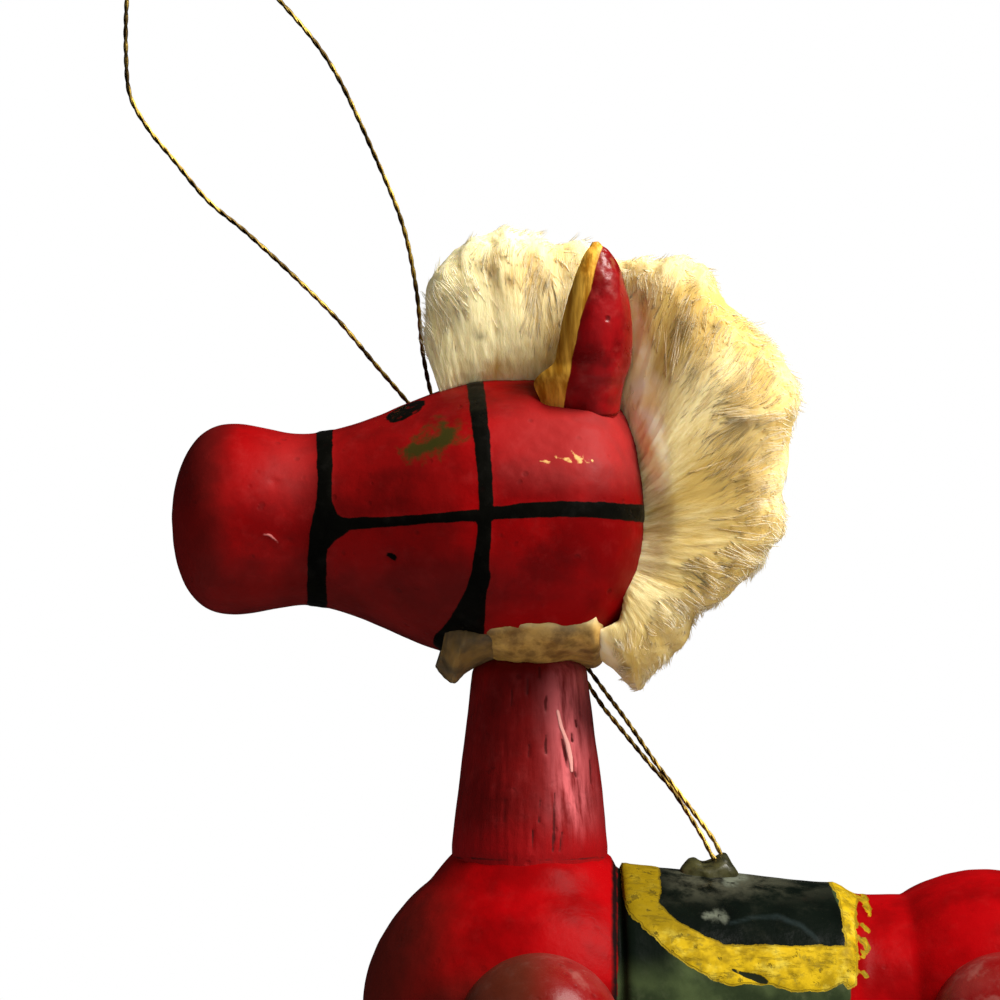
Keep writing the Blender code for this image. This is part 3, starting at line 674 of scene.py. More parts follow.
# %% Gold thread material
def make_thread_gold():
    made, tree, inputs = new_material("gold_thread", 0.6, Metallic=1.0)
    at = object_place(tree)
    tarnish = between(tree, cloudy(tree, at, 0.0022, 5.0), 0.40, 0.58)
    feed(tree, inputs["Base Color"], mixed(tree, tarnish, (0.48, 0.33, 0.07), (0.08, 0.05, 0.015)))
    feed(tree, inputs["Roughness"], between(tree, cloudy(tree, at, 0.0009), 0.3, 0.7, 0.42, 0.60))
    feed(tree, inputs["Normal"], bumped(tree, cloudy(tree, at, 0.0001, 2.0), 0.00002))
    return made


THREAD_GOLD = make_thread_gold()
print(THREAD_GOLD.name, len(THREAD_GOLD.node_tree.nodes), "nodes")

# %% Geometry Nodes tree: twisted plies
def make_twist():
    tree, ins, outs = new_group("Twisted plies", "GeometryNodeTree", [
        ("Route", "Geometry"), ("Ply radius", "Float", 0.0001), ("Offset", "Float", 0.0001),
        ("Pitch", "Float", 0.001), ("Step", "Float", 0.0001), ("Material", "Material"),
    ], [("Thread", "Geometry")])
    curve = put(tree, "GeometryNodeMeshToCurve", {0: ins["Route"]}).outputs[0]
    curve = put(tree, "GeometryNodeResampleCurve", {"Curve": curve, "Length": ins["Step"]},
                mode="LENGTH").outputs[0]
    join = put(tree, "GeometryNodeJoinGeometry")
    tangent = put(tree, "GeometryNodeInputTangent").outputs[0]
    across = put(tree, "GeometryNodeInputNormal").outputs[0]
    other = vector_calc(tree, "CROSS_PRODUCT", tangent, across)
    length = put(tree, "GeometryNodeSplineParameter").outputs["Length"]
    turns = times(tree, calc(tree, "DIVIDE", length, ins["Pitch"]), 2 * pi)
    for start in (0.0, pi):
        angle = plus(tree, turns, start)
        out = vector_calc(tree, "ADD", *(
            scaled(tree, way, times(tree, calc(tree, wave, angle), ins["Offset"]))
            for way, wave in ((across, "COSINE"), (other, "SINE"))))
        ply = put(tree, "GeometryNodeSetPosition", {"Geometry": curve, "Offset": out}).outputs[0]
        ring = put(tree, "GeometryNodeCurvePrimitiveCircle", {"Resolution": 5, "Radius": ins["Ply radius"]})
        tube = put(tree, "GeometryNodeCurveToMesh", {"Curve": ply, "Profile Curve": ring.outputs[0],
                                                     "Fill Caps": True})
        feed(tree, join.inputs[0], tube.outputs[0])
    return end_tree(tree, join.outputs[0], ins, outs)


TWIST = make_twist()
print("twist nodes:", len(TWIST.nodes))

# %% Thread piece
route_mesh = bpy.data.meshes.new("thread_route")
route_mesh.from_pydata(route.tolist(), [(i, i + 1) for i in range(len(route) - 1)], [])
thread_mesh = grown("gold_thread", route_mesh, TWIST, Ply_radius=0.00013, Offset=0.00006, Pitch=0.0021,
                    Step=0.00018, Material=THREAD_GOLD)
thread_mesh.shade_smooth()
thread = keep("gold_thread", thread_mesh, "gold_thread", "hanging_thread")

# %% [markdown]
# ## The body
# One turned bar makes the chest ball, a groove, the saddle drum and the rump ball. A fillet of paint
# and glue climbs the foot of the neck. The saddle is only paint: a green cloth, a dark seat and a
# broad gold hem that swoops from the withers to the rear. The far side mirrors the near one.

# %% Body outline
BODY_Z = 38.6
NECK_X = -10.35


def arc(centre, radius, start, end, steps):
    """(height, radius) pairs round a ball, from one angle in degrees to another."""
    angles = np.radians(np.linspace(start, end, steps))
    return [(centre + radius * cos(a), radius * sin(a)) for a in angles]


BODY_OUTLINE = (
    arc(23.8, 10.9, 0, 124.4, 60)
    + [(15.2, 8.97), (14.4, 9.0), (14.1, 9.05), (13.7, 9.2), (13.2, 9.5), (12.9, 9.72), (12.4, 9.93),
       (6.0, 10.46), (0.0, 10.96), (-3.0, 11.22), (-3.35, 11.15), (-3.5, 10.9), (-3.6, 10.55), (-3.9, 10.45),
       (-4.1, 10.6)]
    + arc(-10.4, 12.5, 60.2, 180, 70)
)
body_mesh = turned("body", BODY_OUTLINE[::-1], 230, 236, BODY_PAINT)
lay_along_x(body_mesh, BODY_Z)
print("body", len(body_mesh.vertices), "points")

# %% Saddle layout
GOLD_HEM = [
    (-3.52, 51.5), (-3.52, 49.8), (-3.45, 48.0), (-3.23, 46.88), (-2.62, 45.82), (-1.57, 44.85),
    (-0.07, 43.5),
    (1.65, 42.23), (3.67, 41.1), (4.72, 40.8), (7.72, 40.88), (9.22, 40.35), (11.7, 40.35), (13.72, 41.32),
    (14.03, 42.15), (14.03, 43.8), (4.2, 43.88), (2.92, 44.48), (0.67, 45.6), (-0.6, 46.88), (-0.53, 48.0),
    (-0.6, 49.8), (-0.6, 51.5)]
REAR_GOLD = [
    (11.85, 51.5), (12.07, 48.52), (12.75, 47.25), (13.05, 45.98), (13.28, 43.8), (13.35, 40.5),
    (14.17, 40.88),
    (14.25, 43.73), (14.1, 45.98), (14.25, 47.48), (12.9, 49.5), (12.6, 51.5)]
GOLD_DABS = [
    [(14.7, 44.25, 0.22), (15.0, 43.65, 0.19), (14.55, 42.9, 0.22)],
    [(14.6, 47.6, 0.2), (14.9, 46.9, 0.25), (15.1, 46.0, 0.2)], [(14.6, 45.4, 0.12), (15.0, 44.9, 0.2)],
    [(14.6, 41.9, 0.12), (14.9, 41.5, 0.15)]]
CLOTH = [(-3.8, 52.0), (-3.8, 33.6), (-1.0, 32.7), (4.5, 32.2), (10.0, 32.7), (13.2, 33.8), (13.7, 40.0),
         (13.7, 52.0)]
LOWER_HEM = [(-3.7, 33.7, 0.28), (-1.0, 32.8, 0.3), (4.5, 32.3, 0.33), (10.0, 32.8, 0.3), (13.4, 33.9, 0.28)]
SEAT = [(-0.9, 52.0), (-0.7, 47.0), (0.7, 45.4), (3.0, 44.2), (4.2, 43.7), (13.4, 43.7), (13.15, 46.0),
        (12.0, 48.6),
        (11.9, 52.0)]
# GROOVE and CREASE are darkened with painted shade
GROOVE = [(-4.0, 53.0, 0.22), (-4.0, 25.0, 0.22)]
CREASE = [(-15.3, 50.3, 0.05), (-13.2, 50.0, 0.09), (-10.9, 49.6, 0.12), (-7.1, 49.8, 0.10),
          (-5.4, 49.4, 0.06)]
CHIP = [(4.8, 42.07, 0.1), (5.77, 41.62, 0.2), (6.75, 41.32, 0.26), (7.5, 41.02, 0.1)]
# the path of a painted highlight on the seat
SEAT_HIGHLIGHT_ARC = [(4.6, 45.5, 0.05), (6.3, 45.95, 0.13), (8.2, 46.0, 0.12), (10.0, 45.3, 0.12), (11.3, 44.2, 0.05)]
SEAT_SCUFFS = [[(3.0, 46.1, 0.2), (3.5, 46.15, 0.22), (4.2, 46.0, 0.1)], [(4.6, 48.8, 0.3),
                (5.6, 48.9, 0.25)],
               [(8.0, 49.2, 0.1), (9.5, 49.0, 0.12)]]
print("points round the gold hem:", len(GOLD_HEM))

# %% Body relief and paint
points, facing, at, flat = surface(body_mesh)
hem = np.minimum(patch(at, GOLD_HEM), patch(at, REAR_GOLD))
hem = np.minimum.reduce([hem, stroke(at, LOWER_HEM), strokes(at, GOLD_DABS)])
chip = stroke(at, CHIP)
thick = soft(-hem, -0.06, 0.2)
rise = 0.05 * ripple(flat, 7, 1) + 0.009 * ripple(flat, 1.6, 2)
rise -= 0.12 * soft(-stroke(at, CREASE), -0.25, 0.05)
rise += 0.06 * thick + 0.012 * thick * ripple(flat, 0.8, 3) - 0.08 * soft(-chip, -0.1, 0.15)
from_neck = np.hypot(flat[:, 0] - NECK_X, flat[:, 1])
fillet = 0.95 * soft(from_neck, 7.7, 5.6) * (flat[:, 2] > 44)
moved = points + facing * rise[:, None] * MM
moved[:, 2] += fillet * MM * (1 + 0.12 * ripple(flat, 3, 4))
move(body_mesh, moved)
print("the fillet round the neck's foot rises", round(float(fillet.max()), 2), "mm")

# %% Body masks
x, z = at[:, 0], at[:, 1]
note(body_mesh, gold=hem, cloth=patch(at, CLOTH), seat=patch(at, SEAT), chip=chip,
     scuff=strokes(at, SEAT_SCUFFS), arc=stroke(at, SEAT_HIGHLIGHT_ARC),
     groove=np.minimum(stroke(at, GROOVE), stroke(at, CREASE) + 0.06),
     # old_gold: painted shade on the upper front of the gold hem
     old_gold=soft(z, 43.5, 46.0) * soft(-x, -4, -1), strip=0.97 * soft(-x, -1.5, 0.5) * soft(z, 39.5, 43.5),
     worn_top=(soft(flat[:, 2], 47.2, 49.6) * soft(flat[:, 0], -1.5, 2)
               * (0.4 + 0.6 * soft(flat[:, 0], 12, 4))),
     shade=np.maximum(soft(-flat[:, 0], 13.5, 22), 0.9 * soft(-z, -44, -38) * soft(-x, 9, 15)))
keep("body_paint", body_mesh, "red_painted_wood", "body")

# %% [markdown]
# ## The head
# The head is turned too, about a level axis: a bulb of a muzzle, a narrow waist under the noseband and
# a wide drum for the cheeks. Two flats are cut where the ears stand. The bridle is brushed on in
# thick black paint, with a web where three straps meet.

# %% Head outline
HEAD_Z = 75.75
CHEEK_R = 10.5
FLAT_TILT, FLAT_DEEP = radians(64), 0.55     # of the two flats where the ears stand


def head_outline():
    """(x, radius) pairs from the nose to the back of the head, in millimetres."""
    nose, muzzle, noseband = -37.0, (-32.5, 7.1), (-27.3, 6.45)
    cheek, nape, back = (-12.6, CHEEK_R), -8.5, -1.5
    blunt = 2 / 2.4
    points = [(muzzle[0] + (nose - muzzle[0]) * sin(a) ** blunt, muzzle[1] * max(cos(a), 0) ** blunt)
              for a in np.linspace(pi / 2, 0, 40)]
    points[0] = (nose, 0)
    ease = lambda t: t * t * (3 - 2 * t)
    for t in np.linspace(1, 0, 24)[1:]:
        points.append((noseband[0] + (muzzle[0] - noseband[0]) * t,
                       noseband[1] + (muzzle[1] - noseband[1]) * ease(t)))
    for t in np.linspace(1, 0, 50)[1:]:
        points.append((cheek[0] + (noseband[0] - cheek[0]) * t,
                       cheek[1] + (noseband[1] - cheek[1]) * (1 - ease((1 - t) ** 0.92))))
    for a in np.linspace(0, pi / 2, 44):
        points.append((nape + (back - nape) * sin(a) ** blunt, cheek[1] * max(cos(a), 0) ** blunt))
    points[-1] = (back, 0)
    return points


head_mesh = turned("head", head_outline(), 220, 240, HEAD_PAINT)
lay_along_x(head_mesh, HEAD_Z)
print("head", len(head_mesh.vertices), "points")

# %% Bridle layout
NOSEBAND = [(-25.8, 85.5, 0.6), (-25.8, 84.75, 0.6), (-25.76, 82.05, 0.64), (-25.72, 79.5, 0.56),
            (-25.8, 77.25, 0.56),
            (-26.1, 75.0, 0.75), (-26.32, 72.75, 0.71), (-26.32, 69.75, 0.75), (-26.4, 65.5, 0.75)]
CHEEK_STRAP = [(-14.62, 88.5, 0.67), (-14.47, 85.88, 0.64), (-14.17, 83.62, 0.64), (-13.95, 81.75, 0.6),
               (-13.72, 79.12, 0.56), (-13.65, 76.88, 0.53), (-13.8, 74.25, 0.53), (-14.1, 71.62, 0.67),
               (-14.55, 69.75, 0.9), (-15.0, 68.25, 1.27), (-15.45, 66.38, 1.65), (-15.75, 62.25, 1.8)]
SIDE_STRAP = [(-25.95, 75.15, 0.67), (-24.22, 75.45, 0.49), (-20.1, 75.67, 0.38), (-17.1, 75.9, 0.38),
              (-14.1, 76.12, 0.45), (-11.1, 76.42, 0.56), (-8.1, 76.58, 0.6), (-5.1, 76.5, 0.6),
              (-2.48, 76.27, 0.64),
              (-0.6, 76.2, 0.67)]
WEBS = [[(-26.25, 73.65, 0.6), (-25.35, 74.55, 0.53), (-24.15, 75.08, 0.3)],
        [(-25.72, 76.88, 0.53), (-25.12, 75.83, 0.45), (-24.15, 75.45, 0.3)],
        [(-13.8, 71.62, 0.53), (-14.55, 69.75, 0.75), (-15.45, 68.4, 0.67), (-16.43, 67.35, 0.53),
         (-17.1, 66.75, 0.53)]]
print("bridle strokes:", 3 + len(WEBS))

# %% Wear and painted glints on the head
SMUDGE = [(-19.3, 80.7, 0.35), (-17.9, 81.3, 0.95), (-16.9, 82.0, 0.9), (-16.0, 82.2, 0.4)]
# pale gold flecks, painted as glints in the highlight high on the cheek; near side only
GLINT_FLECKS = [[(-9.6, 80.15, 0.03), (-8.9, 80.15, 0.07)], [(-8.5, 80.6, 0.06), (-8.3, 80.35, 0.10)],
          [(-7.8, 80.35, 0.08), (-7.3, 80.2, 0.15)], [(-7.0, 80.5, 0.13), (-6.6, 80.15, 0.16),
           (-6.4, 80.65, 0.07)],
          [(-6.1, 80.0, 0.05), (-5.7, 80.2, 0.05)], [(-7.5, 81.0, 0.04), (-7.1, 81.05, 0.06)]]
MUZZLE_SCRATCH = [(-30.45, 74.7, 0.05), (-29.85, 74.62, 0.07), (-29.47, 74.25, 0.05), (-29.2, 74.0, 0.03)]
CHEEK_MARK = [(-21.15, 73.15, 0.1), (-20.6, 72.95, 0.2)]
DENTS = [(-20.85, 72.98, 0.35, 0.16), (-29.55, 78.68, 0.22, 0.12), (-28.4, 74.2, 0.15, 0.07),
         (-9.5, 73.4, 0.2, 0.05),
         (-22.5, 79.0, 0.16, 0.05), (-5.6, 83.0, 0.2, 0.06)]
EYE_SPOT = (-19.6, radians(21.5), 1.45, 1.75)     # x, angle from the top, half width and half height
print("gold flecks:", len(GLINT_FLECKS), " dents:", len(DENTS))

# %% Head relief
STRAP_HIGH = 0.06
points, facing, at, flat = surface(head_mesh)
bridle = strokes(at, (NOSEBAND, CHEEK_STRAP, SIDE_STRAP, *WEBS))
angle = np.arctan2(np.abs(flat[:, 1]), flat[:, 2] - HEAD_Z)
around = (angle - EYE_SPOT[1]) * np.hypot(flat[:, 1], flat[:, 2] - HEAD_Z)
eye = (np.hypot((flat[:, 0] - EYE_SPOT[0]) / EYE_SPOT[2], around / EYE_SPOT[3]) - 1) * 1.5
rise = 0.06 * ripple(flat, 8, 11) + 0.010 * ripple(flat, 1.8, 12)
bumps = soft(at[:, 0], -14, -10) * soft(at[:, 1], 76.5, 79)
strap = STRAP_HIGH * soft(-bridle, -0.05, 0.25)
rise += bumps * 0.016 * ripple(flat, 0.9, 13) + strap * (1 + 0.3 * ripple(flat, 0.9, 14))
rise += 0.03 * soft(-eye, -0.1, 0.3) + 0.08 * soft(-stroke(at, MUZZLE_SCRATCH), -0.1, 0.1)
for x, z, wide, deep in DENTS:
    rise -= deep * spot(at, x, z, wide * 1.5, wide) * (flat[:, 1] < 0)
points = points + facing * rise[:, None] * MM
for side in (-1, 1):
    normal = np.array((0, side * cos(FLAT_TILT), sin(FLAT_TILT)))
    over = (points / MM - (0, 0, HEAD_Z)) @ normal - (CHEEK_R - FLAT_DEEP)
    over = np.maximum(over, 0) * soft(points[:, 0] / MM, -10.6, -9.0)
    points -= over[:, None] * normal * MM
move(head_mesh, points)
deepest = max(dent[3] for dent in DENTS)
print("the straps stand", STRAP_HIGH, "mm proud, and the deepest dent is", deepest, "mm")

# %% Head masks
x, z, near = at[:, 0], at[:, 1], flat[:, 1] < 0
# painted highlight: the sheen high on the cheeks and the spot on the muzzle
rosy = soft(x, -16, -8) * soft(z, 77, 80) * soft(-z, -86, -83)
rosy = np.maximum(rosy, 0.8 * spot(at, -28.3, 79.5, 2.2, 2.5))
shades = (0.7 * soft(-z, -76, -69) * soft(-x, 10, 16), 0.75 * soft(-x, 31.5, 35.0),
          0.35 * soft(-x, 14, 17) * soft(x, -29, -25))
note(head_mesh, bridle=bridle, eye=np.minimum(eye, np.where(near, stroke(at, CHEEK_MARK), 9)),
     smudge=stroke(at, SMUDGE), rosy=rosy, flecks=np.where(near, strokes(at, GLINT_FLECKS), 9),
     scuff=np.where(near, stroke(at, MUZZLE_SCRATCH), 9), shade=np.maximum.reduce(shades))
keep("head_paint", head_mesh, "red_painted_wood", "head")

# %% [markdown]
# ## The neck
# The neck is a short cone of coarser wood. The paint sank into its grain, so it is dusty, pitted and
# cracked along its length, with one pale raised scratch. The cracks are carved in the mesh itself.

# %% Cracks and scratch
NECK_SCRATCH = [(-8.29, 61.42, 0.1), (-8.03, 60.22, 0.12), (-7.57, 58.95, 0.15), (-7.35, 57.9, 0.15),
                (-7.24, 56.92, 0.1)]
CRACKS = [
    [(-7.95, 59.32, 0.06), (-7.72, 58.35, 0.11), (-7.5, 57.15, 0.06)],
    [(-9.64, 64.65, 0.08), (-9.64, 63.97, 0.09)], [(-10.5, 63.82, 0.06), (-10.57, 62.7, 0.08)],
    [(-9.07, 62.62, 0.07), (-9.19, 62.02, 0.12), (-9.15, 61.42, 0.08)],
    [(-9.11, 59.62, 0.07), (-9.19, 58.88, 0.12), (-9.15, 58.27, 0.08)], [(-10.42, 58.88, 0.05),
     (-10.46, 57.97, 0.06)],
    [(-6.9, 60.75, 0.06), (-6.83, 60.22, 0.06)], [(-7.2, 59.77, 0.06), (-7.16, 59.17, 0.08)],
    [(-8.47, 55.27, 0.05), (-8.55, 53.62, 0.09), (-8.55, 51.9, 0.11), (-8.62, 50.85, 0.05)],
    [(-9.6, 54.75, 0.05), (-9.67, 53.1, 0.06)], [(-10.12, 52.5, 0.04), (-10.2, 50.85, 0.05)],
    [(-7.95, 52.35, 0.05), (-8.1, 50.85, 0.06)], [(-6.97, 56.85, 0.08), (-6.83, 56.48, 0.09)],
    [(-11.7, 63.0, 0.04), (-11.78, 61.8, 0.05)], [(-5.85, 57.75, 0.04), (-5.7, 55.95, 0.05)],
    [(-12.22, 54.75, 0.04), (-12.3, 53.1, 0.05)],
]
print("cracks:", len(CRACKS))

# %% Neck
NECK_TOP, NECK_TOP_R, NECK_FOOT, NECK_FOOT_R, NECK_ROUND = 65.6, 4.35, 48.6, 6.18, 1.6
neck_edge = [(NECK_TOP - NECK_ROUND * (1 - cos(a)), NECK_TOP_R - NECK_ROUND * (1 - sin(a)))
             for a in np.linspace(0, pi / 2, 12)]
neck_outline = [(NECK_TOP, 0), *neck_edge, (NECK_FOOT, NECK_FOOT_R), (NECK_FOOT, 0)]
neck_mesh = turned("neck", neck_outline, 160, 240, NECK_PAINT)
neck_mesh.transform(Matrix.Translation((NECK_X * MM, 0, 0)))
points, facing, at, flat = surface(neck_mesh)
x, z = at[:, 0], at[:, 1]
crack, scratch = strokes(at, CRACKS), stroke(at, NECK_SCRATCH)
grain = ripple(flat * (1, 1, 0.12), 0.55, 21)
rise = 0.03 * ripple(flat, 5, 22) + 0.018 * grain - 0.05 * soft(grain, 1.2, 2.2)
rise += 0.10 * soft(-scratch, -0.1, 0.12) * (flat[:, 1] < 0) - 0.10 * soft(-crack, -0.10, 0.06)
rise -= 0.12 * soft(-flat[:, 2], -51.6, -50.3)
push_out(neck_mesh, points, facing, rise)
# painted shade: a dark line round the neck's foot in the crease over the fillet, kept with the cracks
foot_line = np.abs(z - 50.25 - 0.06 * (x - NECK_X) ** 2 / 10) - 0.05
middle = -7.4 + 0.035 * (60 - z)
note(neck_mesh, crack=np.minimum(crack, foot_line), low=soft(-z, -54.5, -51),
     # painted highlight: a pink band right of the neck's middle, fading towards its top
     rosy=0.9 * np.exp(-(((x - middle) / 1.35) ** 2)) * soft(-z, -66, -63),
     scuff=np.where(flat[:, 1] < 0, scratch, 9))
keep("neck_paint", neck_mesh, "dusty_red_painted_wood", "neck")

# %% [markdown]
# ## The ears
# Each ear is half a wooden bullet, glued on a flat. Its round back is red and pitted near the tip. Its
# hollow front was left as bare, amber wood and flares at the foot.

# %% Bare wood
def make_ear_paint():
    made, tree, inputs = new_material("red_and_bare_ear", 0.25)
    look = old_paint(tree, (0.23, 0.0015, 0.003), (0.12, 0.0015, 0.002), (0.34, 0.07, 0.055),
                     size=0.003, dust=0.2, pits=0.9, rough=0.3)
    tip = between(tree, cloudy(tree, object_place(tree), 0.0009, 5.0, 0.7), 0.48, 0.6)
    look = tinted(tree, look, times(tree, noted(tree, "tip"), tip), (0.22, 0.06, 0.022))
    grain = stretched(tree, (1.0, 1.0, 0.15))
    fibres = between(tree, cloudy(tree, grain, 0.0006, 4.0), 0.35, 0.65)
    wood = mixed(tree, fibres, (0.40, 0.155, 0.006), (0.85, 0.45, 0.055))
    look = layer(tree, look, painted(tree, "bare", 0.12, 0.05), (wood, 0.45, cloudy(tree, grain, 0.0004)))
    finish(tree, inputs, look, 0.00008)
    return made


EAR_PAINT = make_ear_paint()
print(EAR_PAINT.name, len(EAR_PAINT.node_tree.nodes), "nodes")

# %% Ear sections
EAR_SECTIONS = [   # height over the flat, reach of the face, radius behind it, half width
    (-3.2, 2.4, 1.4, 1.6), (-1.15, 2.6, 1.6, 1.8), (-0.9, 3.4, 1.8, 2.1), (0.2, 3.8, 1.9, 2.2),
    (1.2, 4.2, 2.1, 2.3),
    (2.0, 3.7, 2.4, 2.6), (2.8, 2.7, 2.6, 2.7), (3.8, 2.4, 2.7, 2.8), (5.6, 2.1, 2.7, 2.8),
    (7.4, 1.7, 2.4, 2.5),
    (9.2, 1.2, 1.9, 2.0), (10.6, 0.7, 1.2, 1.2), (11.2, 0.35, 0.55, 0.55), (11.5, 0.15, 0.15, 0.2)]
EAR_X = -5.6
EAR_LEAN, EAR_TWIST = radians(9), radians(13)
RED_FRONT = [(83.0, -7.9), (84.4, -7.8), (87.75, -7.2), (90.75, -6.6), (93.0, -5.85), (95.1, -5.3),
             (96.3, -4.9)]
print("the ears stand", EAR_SECTIONS[-1][0], "mm over their flats; the red ends along (z, x) rows")

# %% Ears
def ear_mesh(name, side):
    """Half rings behind and a hollow face in front, one above the other."""
    normal = Vector((0, side * cos(FLAT_TILT), sin(FLAT_TILT)))
    foot = Vector((EAR_X, 0, HEAD_Z)) + normal * (CHEEK_R - FLAT_DEEP)
    turn = np.array(Matrix.Rotation(-side * EAR_LEAN, 3, "X") @ Matrix.Rotation(side * EAR_TWIST, 3, "Z"))
    sections = smooth_rows(EAR_SECTIONS, np.linspace(0, 1, 110))
    back, face = np.linspace(-pi / 2, pi / 2, 60), np.linspace(1, -1, 32)[1:-1]
    height, reach, behind, half = (sections[:, i, None] for i in range(4))
    hollow = 0.45 * (1 - face**2) * np.minimum(half / 2.8, 1)
    x = np.hstack([behind * np.cos(back), hollow - reach - 0.15 * (1 - face**2)])
    y = np.hstack([half * np.sin(back), 0.92 * half * face])
    grid = np.stack([x, y, np.broadcast_to(height, x.shape)], -1)
    mesh = skin(name, grid @ turn.T * MM + np.array(foot) * MM)
    points, facing, _, flat = surface(mesh)
    rows = np.append(height.repeat(x.shape[1], 1).ravel(), (EAR_SECTIONS[0][0], EAR_SECTIONS[-1][0]))
    rise = 0.025 * ripple(flat, 1.8, 31) + 0.018 * ripple(flat, 0.7, 32) * (0.2 + soft(rows, 7, 10))
    rise -= 0.08 * soft(ripple(flat, 0.7, 33), 1.0, 1.7) * soft(rows, 5, 9)
    push_out(mesh, points, facing, rise)
    at = seen(points)
    note(mesh, bare=at[:, 0] - np.interp(at[:, 1], *zip(*RED_FRONT)), tip=soft(rows, 8.5, 11.2))
    mesh.materials.append(EAR_PAINT)
    return mesh


SIDES = ((-1, "left"), (1, "right"))
for side, word in SIDES:
    keep("ear_paint_" + word, ear_mesh("ear_" + word, side), "red_and_bare_wood", "ear_" + word)

# %% [markdown]
# ## Legs, rockers and cross bars
# The photo cuts these off, so they are finished in keeping and plainer. The legs are turned: a ball
# for the thigh, a taper and a small dark hoof. The rockers are sawn arcs with rounded ends, and two
# dowels hold them apart.

# %% Rocker sizes
ROCKER_Y, ROCKER_R, ROCKER_HIGH, ROCKER_WIDE = 14.6, 95.0, 5.5, 5.0
ROCKER_HALF_ARC, CROSSBAR_INSET = 48.0, 8.2     # along the arc
MIDDLE_R = ROCKER_R - ROCKER_HIGH / 2
REST_CUT = ROCKER_R - sqrt(ROCKER_R**2 - 6.0**2)


def rocker_middle_z(x):
    return ROCKER_R - sqrt(MIDDLE_R**2 - x**2) - REST_CUT


print("the flat under a rocker is cut", round(REST_CUT, 3), "mm deep")

# %% Legs
SHIN_R, FETLOCK_R, HOOF_R, HOOF_LONG, THIGH_R, THIGH_Z = 2.9, 2.1, 2.6, 4.2, 6.0, 39.2
LEGS = (("leg_front", -9.8, 13.4, -20.0), ("leg_rear", 23.8, 12.0, 31.5))     # thigh x and y, foot x


def leg_outline(length):
    ball = [(THIGH_R * cos(a), THIGH_R * sin(a)) for a in np.linspace(0, radians(118), 24)]
    rest = smooth_rows([ball[-1], (-0.30 * length, SHIN_R + 0.8), (-0.42 * length, SHIN_R + 0.2),
                        (-0.56 * length, SHIN_R - 0.15), (-0.72 * length, FETLOCK_R + 0.2),
                        (HOOF_LONG + 1.2 - length, FETLOCK_R), (HOOF_LONG - length, FETLOCK_R + 0.25)],
                       np.linspace(0, 1, 40))[1:].tolist()
    return ball + rest + [(HOOF_LONG - 0.5 - length, HOOF_R - 0.1), (HOOF_LONG - 0.9 - length, HOOF_R),
                          (2.1 - length, HOOF_R), (1.3 - length, HOOF_R - 0.6), (-length, HOOF_R - 0.7),
                          (-length, 0)]


for name, thigh_x, thigh_y, foot_x in LEGS:
    for side, word in SIDES:
        thigh = Vector((thigh_x, side * thigh_y, THIGH_Z))
        foot = Vector((foot_x, side * ROCKER_Y, rocker_middle_z(foot_x) + 1.0))
        length = (foot - thigh).length
        mesh = turned(f"{name}_{word}", leg_outline(length), 130, 64, LEG_PAINT)
        points, facing = read(mesh), read(mesh, "normal")
        note(mesh, hoof=points[:, 2] / MM + length - 4.0)
        rise = 0.05 * ripple(points / MM, 5, 41) + 0.015 * ripple(points / MM, 1.5, 42)
        push_out(mesh, points, facing, rise)
        upright = (thigh - foot).to_track_quat("Z", "Y").to_matrix().to_4x4()
        mesh.transform(Matrix.Translation(thigh * MM) @ upright)
        note(mesh, shade=soft(-seen(read(mesh))[:, 0], 7.0, 11.5) * (name == "leg_front"))
        keep(f"{name}_{word}_paint", mesh, "red_painted_wood", f"{name}_{word}")

# %% Rockers
def rocker_mesh(name, side):
    """Rounded-square sections along an arc, whose height closes to nothing round each end."""
    reach = (ROCKER_HALF_ARC - ROCKER_HIGH / 2) / ROCKER_R * MIDDLE_R
    t = np.sin(np.linspace(-pi / 2, pi / 2, 141))
    along = t * (reach + ROCKER_HIGH / 2)
    into_end = np.clip(np.abs(along) - reach, 0, ROCKER_HIGH / 2)
    half = np.sqrt(np.maximum((ROCKER_HIGH / 2) ** 2 - into_end**2, 0.02))
    a = np.linspace(0, 2 * pi, 73)[:-1]
    square = lambda v: np.sign(v) * np.abs(v) ** 0.22
    up, out = square(np.sin(a)), square(np.cos(a))
    radius = MIDDLE_R - half[:, None] * up
    angle = (along / MIDDLE_R)[:, None]
    across = side * ROCKER_Y + np.broadcast_to(out * ROCKER_WIDE / 2, radius.shape)
    height = np.maximum(ROCKER_R - radius * np.cos(angle) - REST_CUT, 0)
    grid = np.stack([radius * np.sin(angle), across, height], -1)
    mesh = skin(name, grid * MM)
    points, facing = read(mesh), read(mesh, "normal")
    corner = np.broadcast_to(np.minimum(np.abs(up), np.abs(out)), radius.shape)
    note(mesh, rubbed=np.clip(0.35 - 0.5 * soft(np.append(corner.ravel(), (0, 0)), 0.80, 0.93), -1, 1))
    push_out(mesh, points, facing, 0.03 * ripple(points / MM, 6, 51) * (points[:, 2] > 0.0004))
    mesh.materials.append(ROCKER_PAINT)
    return mesh


for side, word in SIDES:
    keep("rocker_paint_" + word, rocker_mesh("rocker_" + word, side), "green_painted_wood", "rocker_" + word)

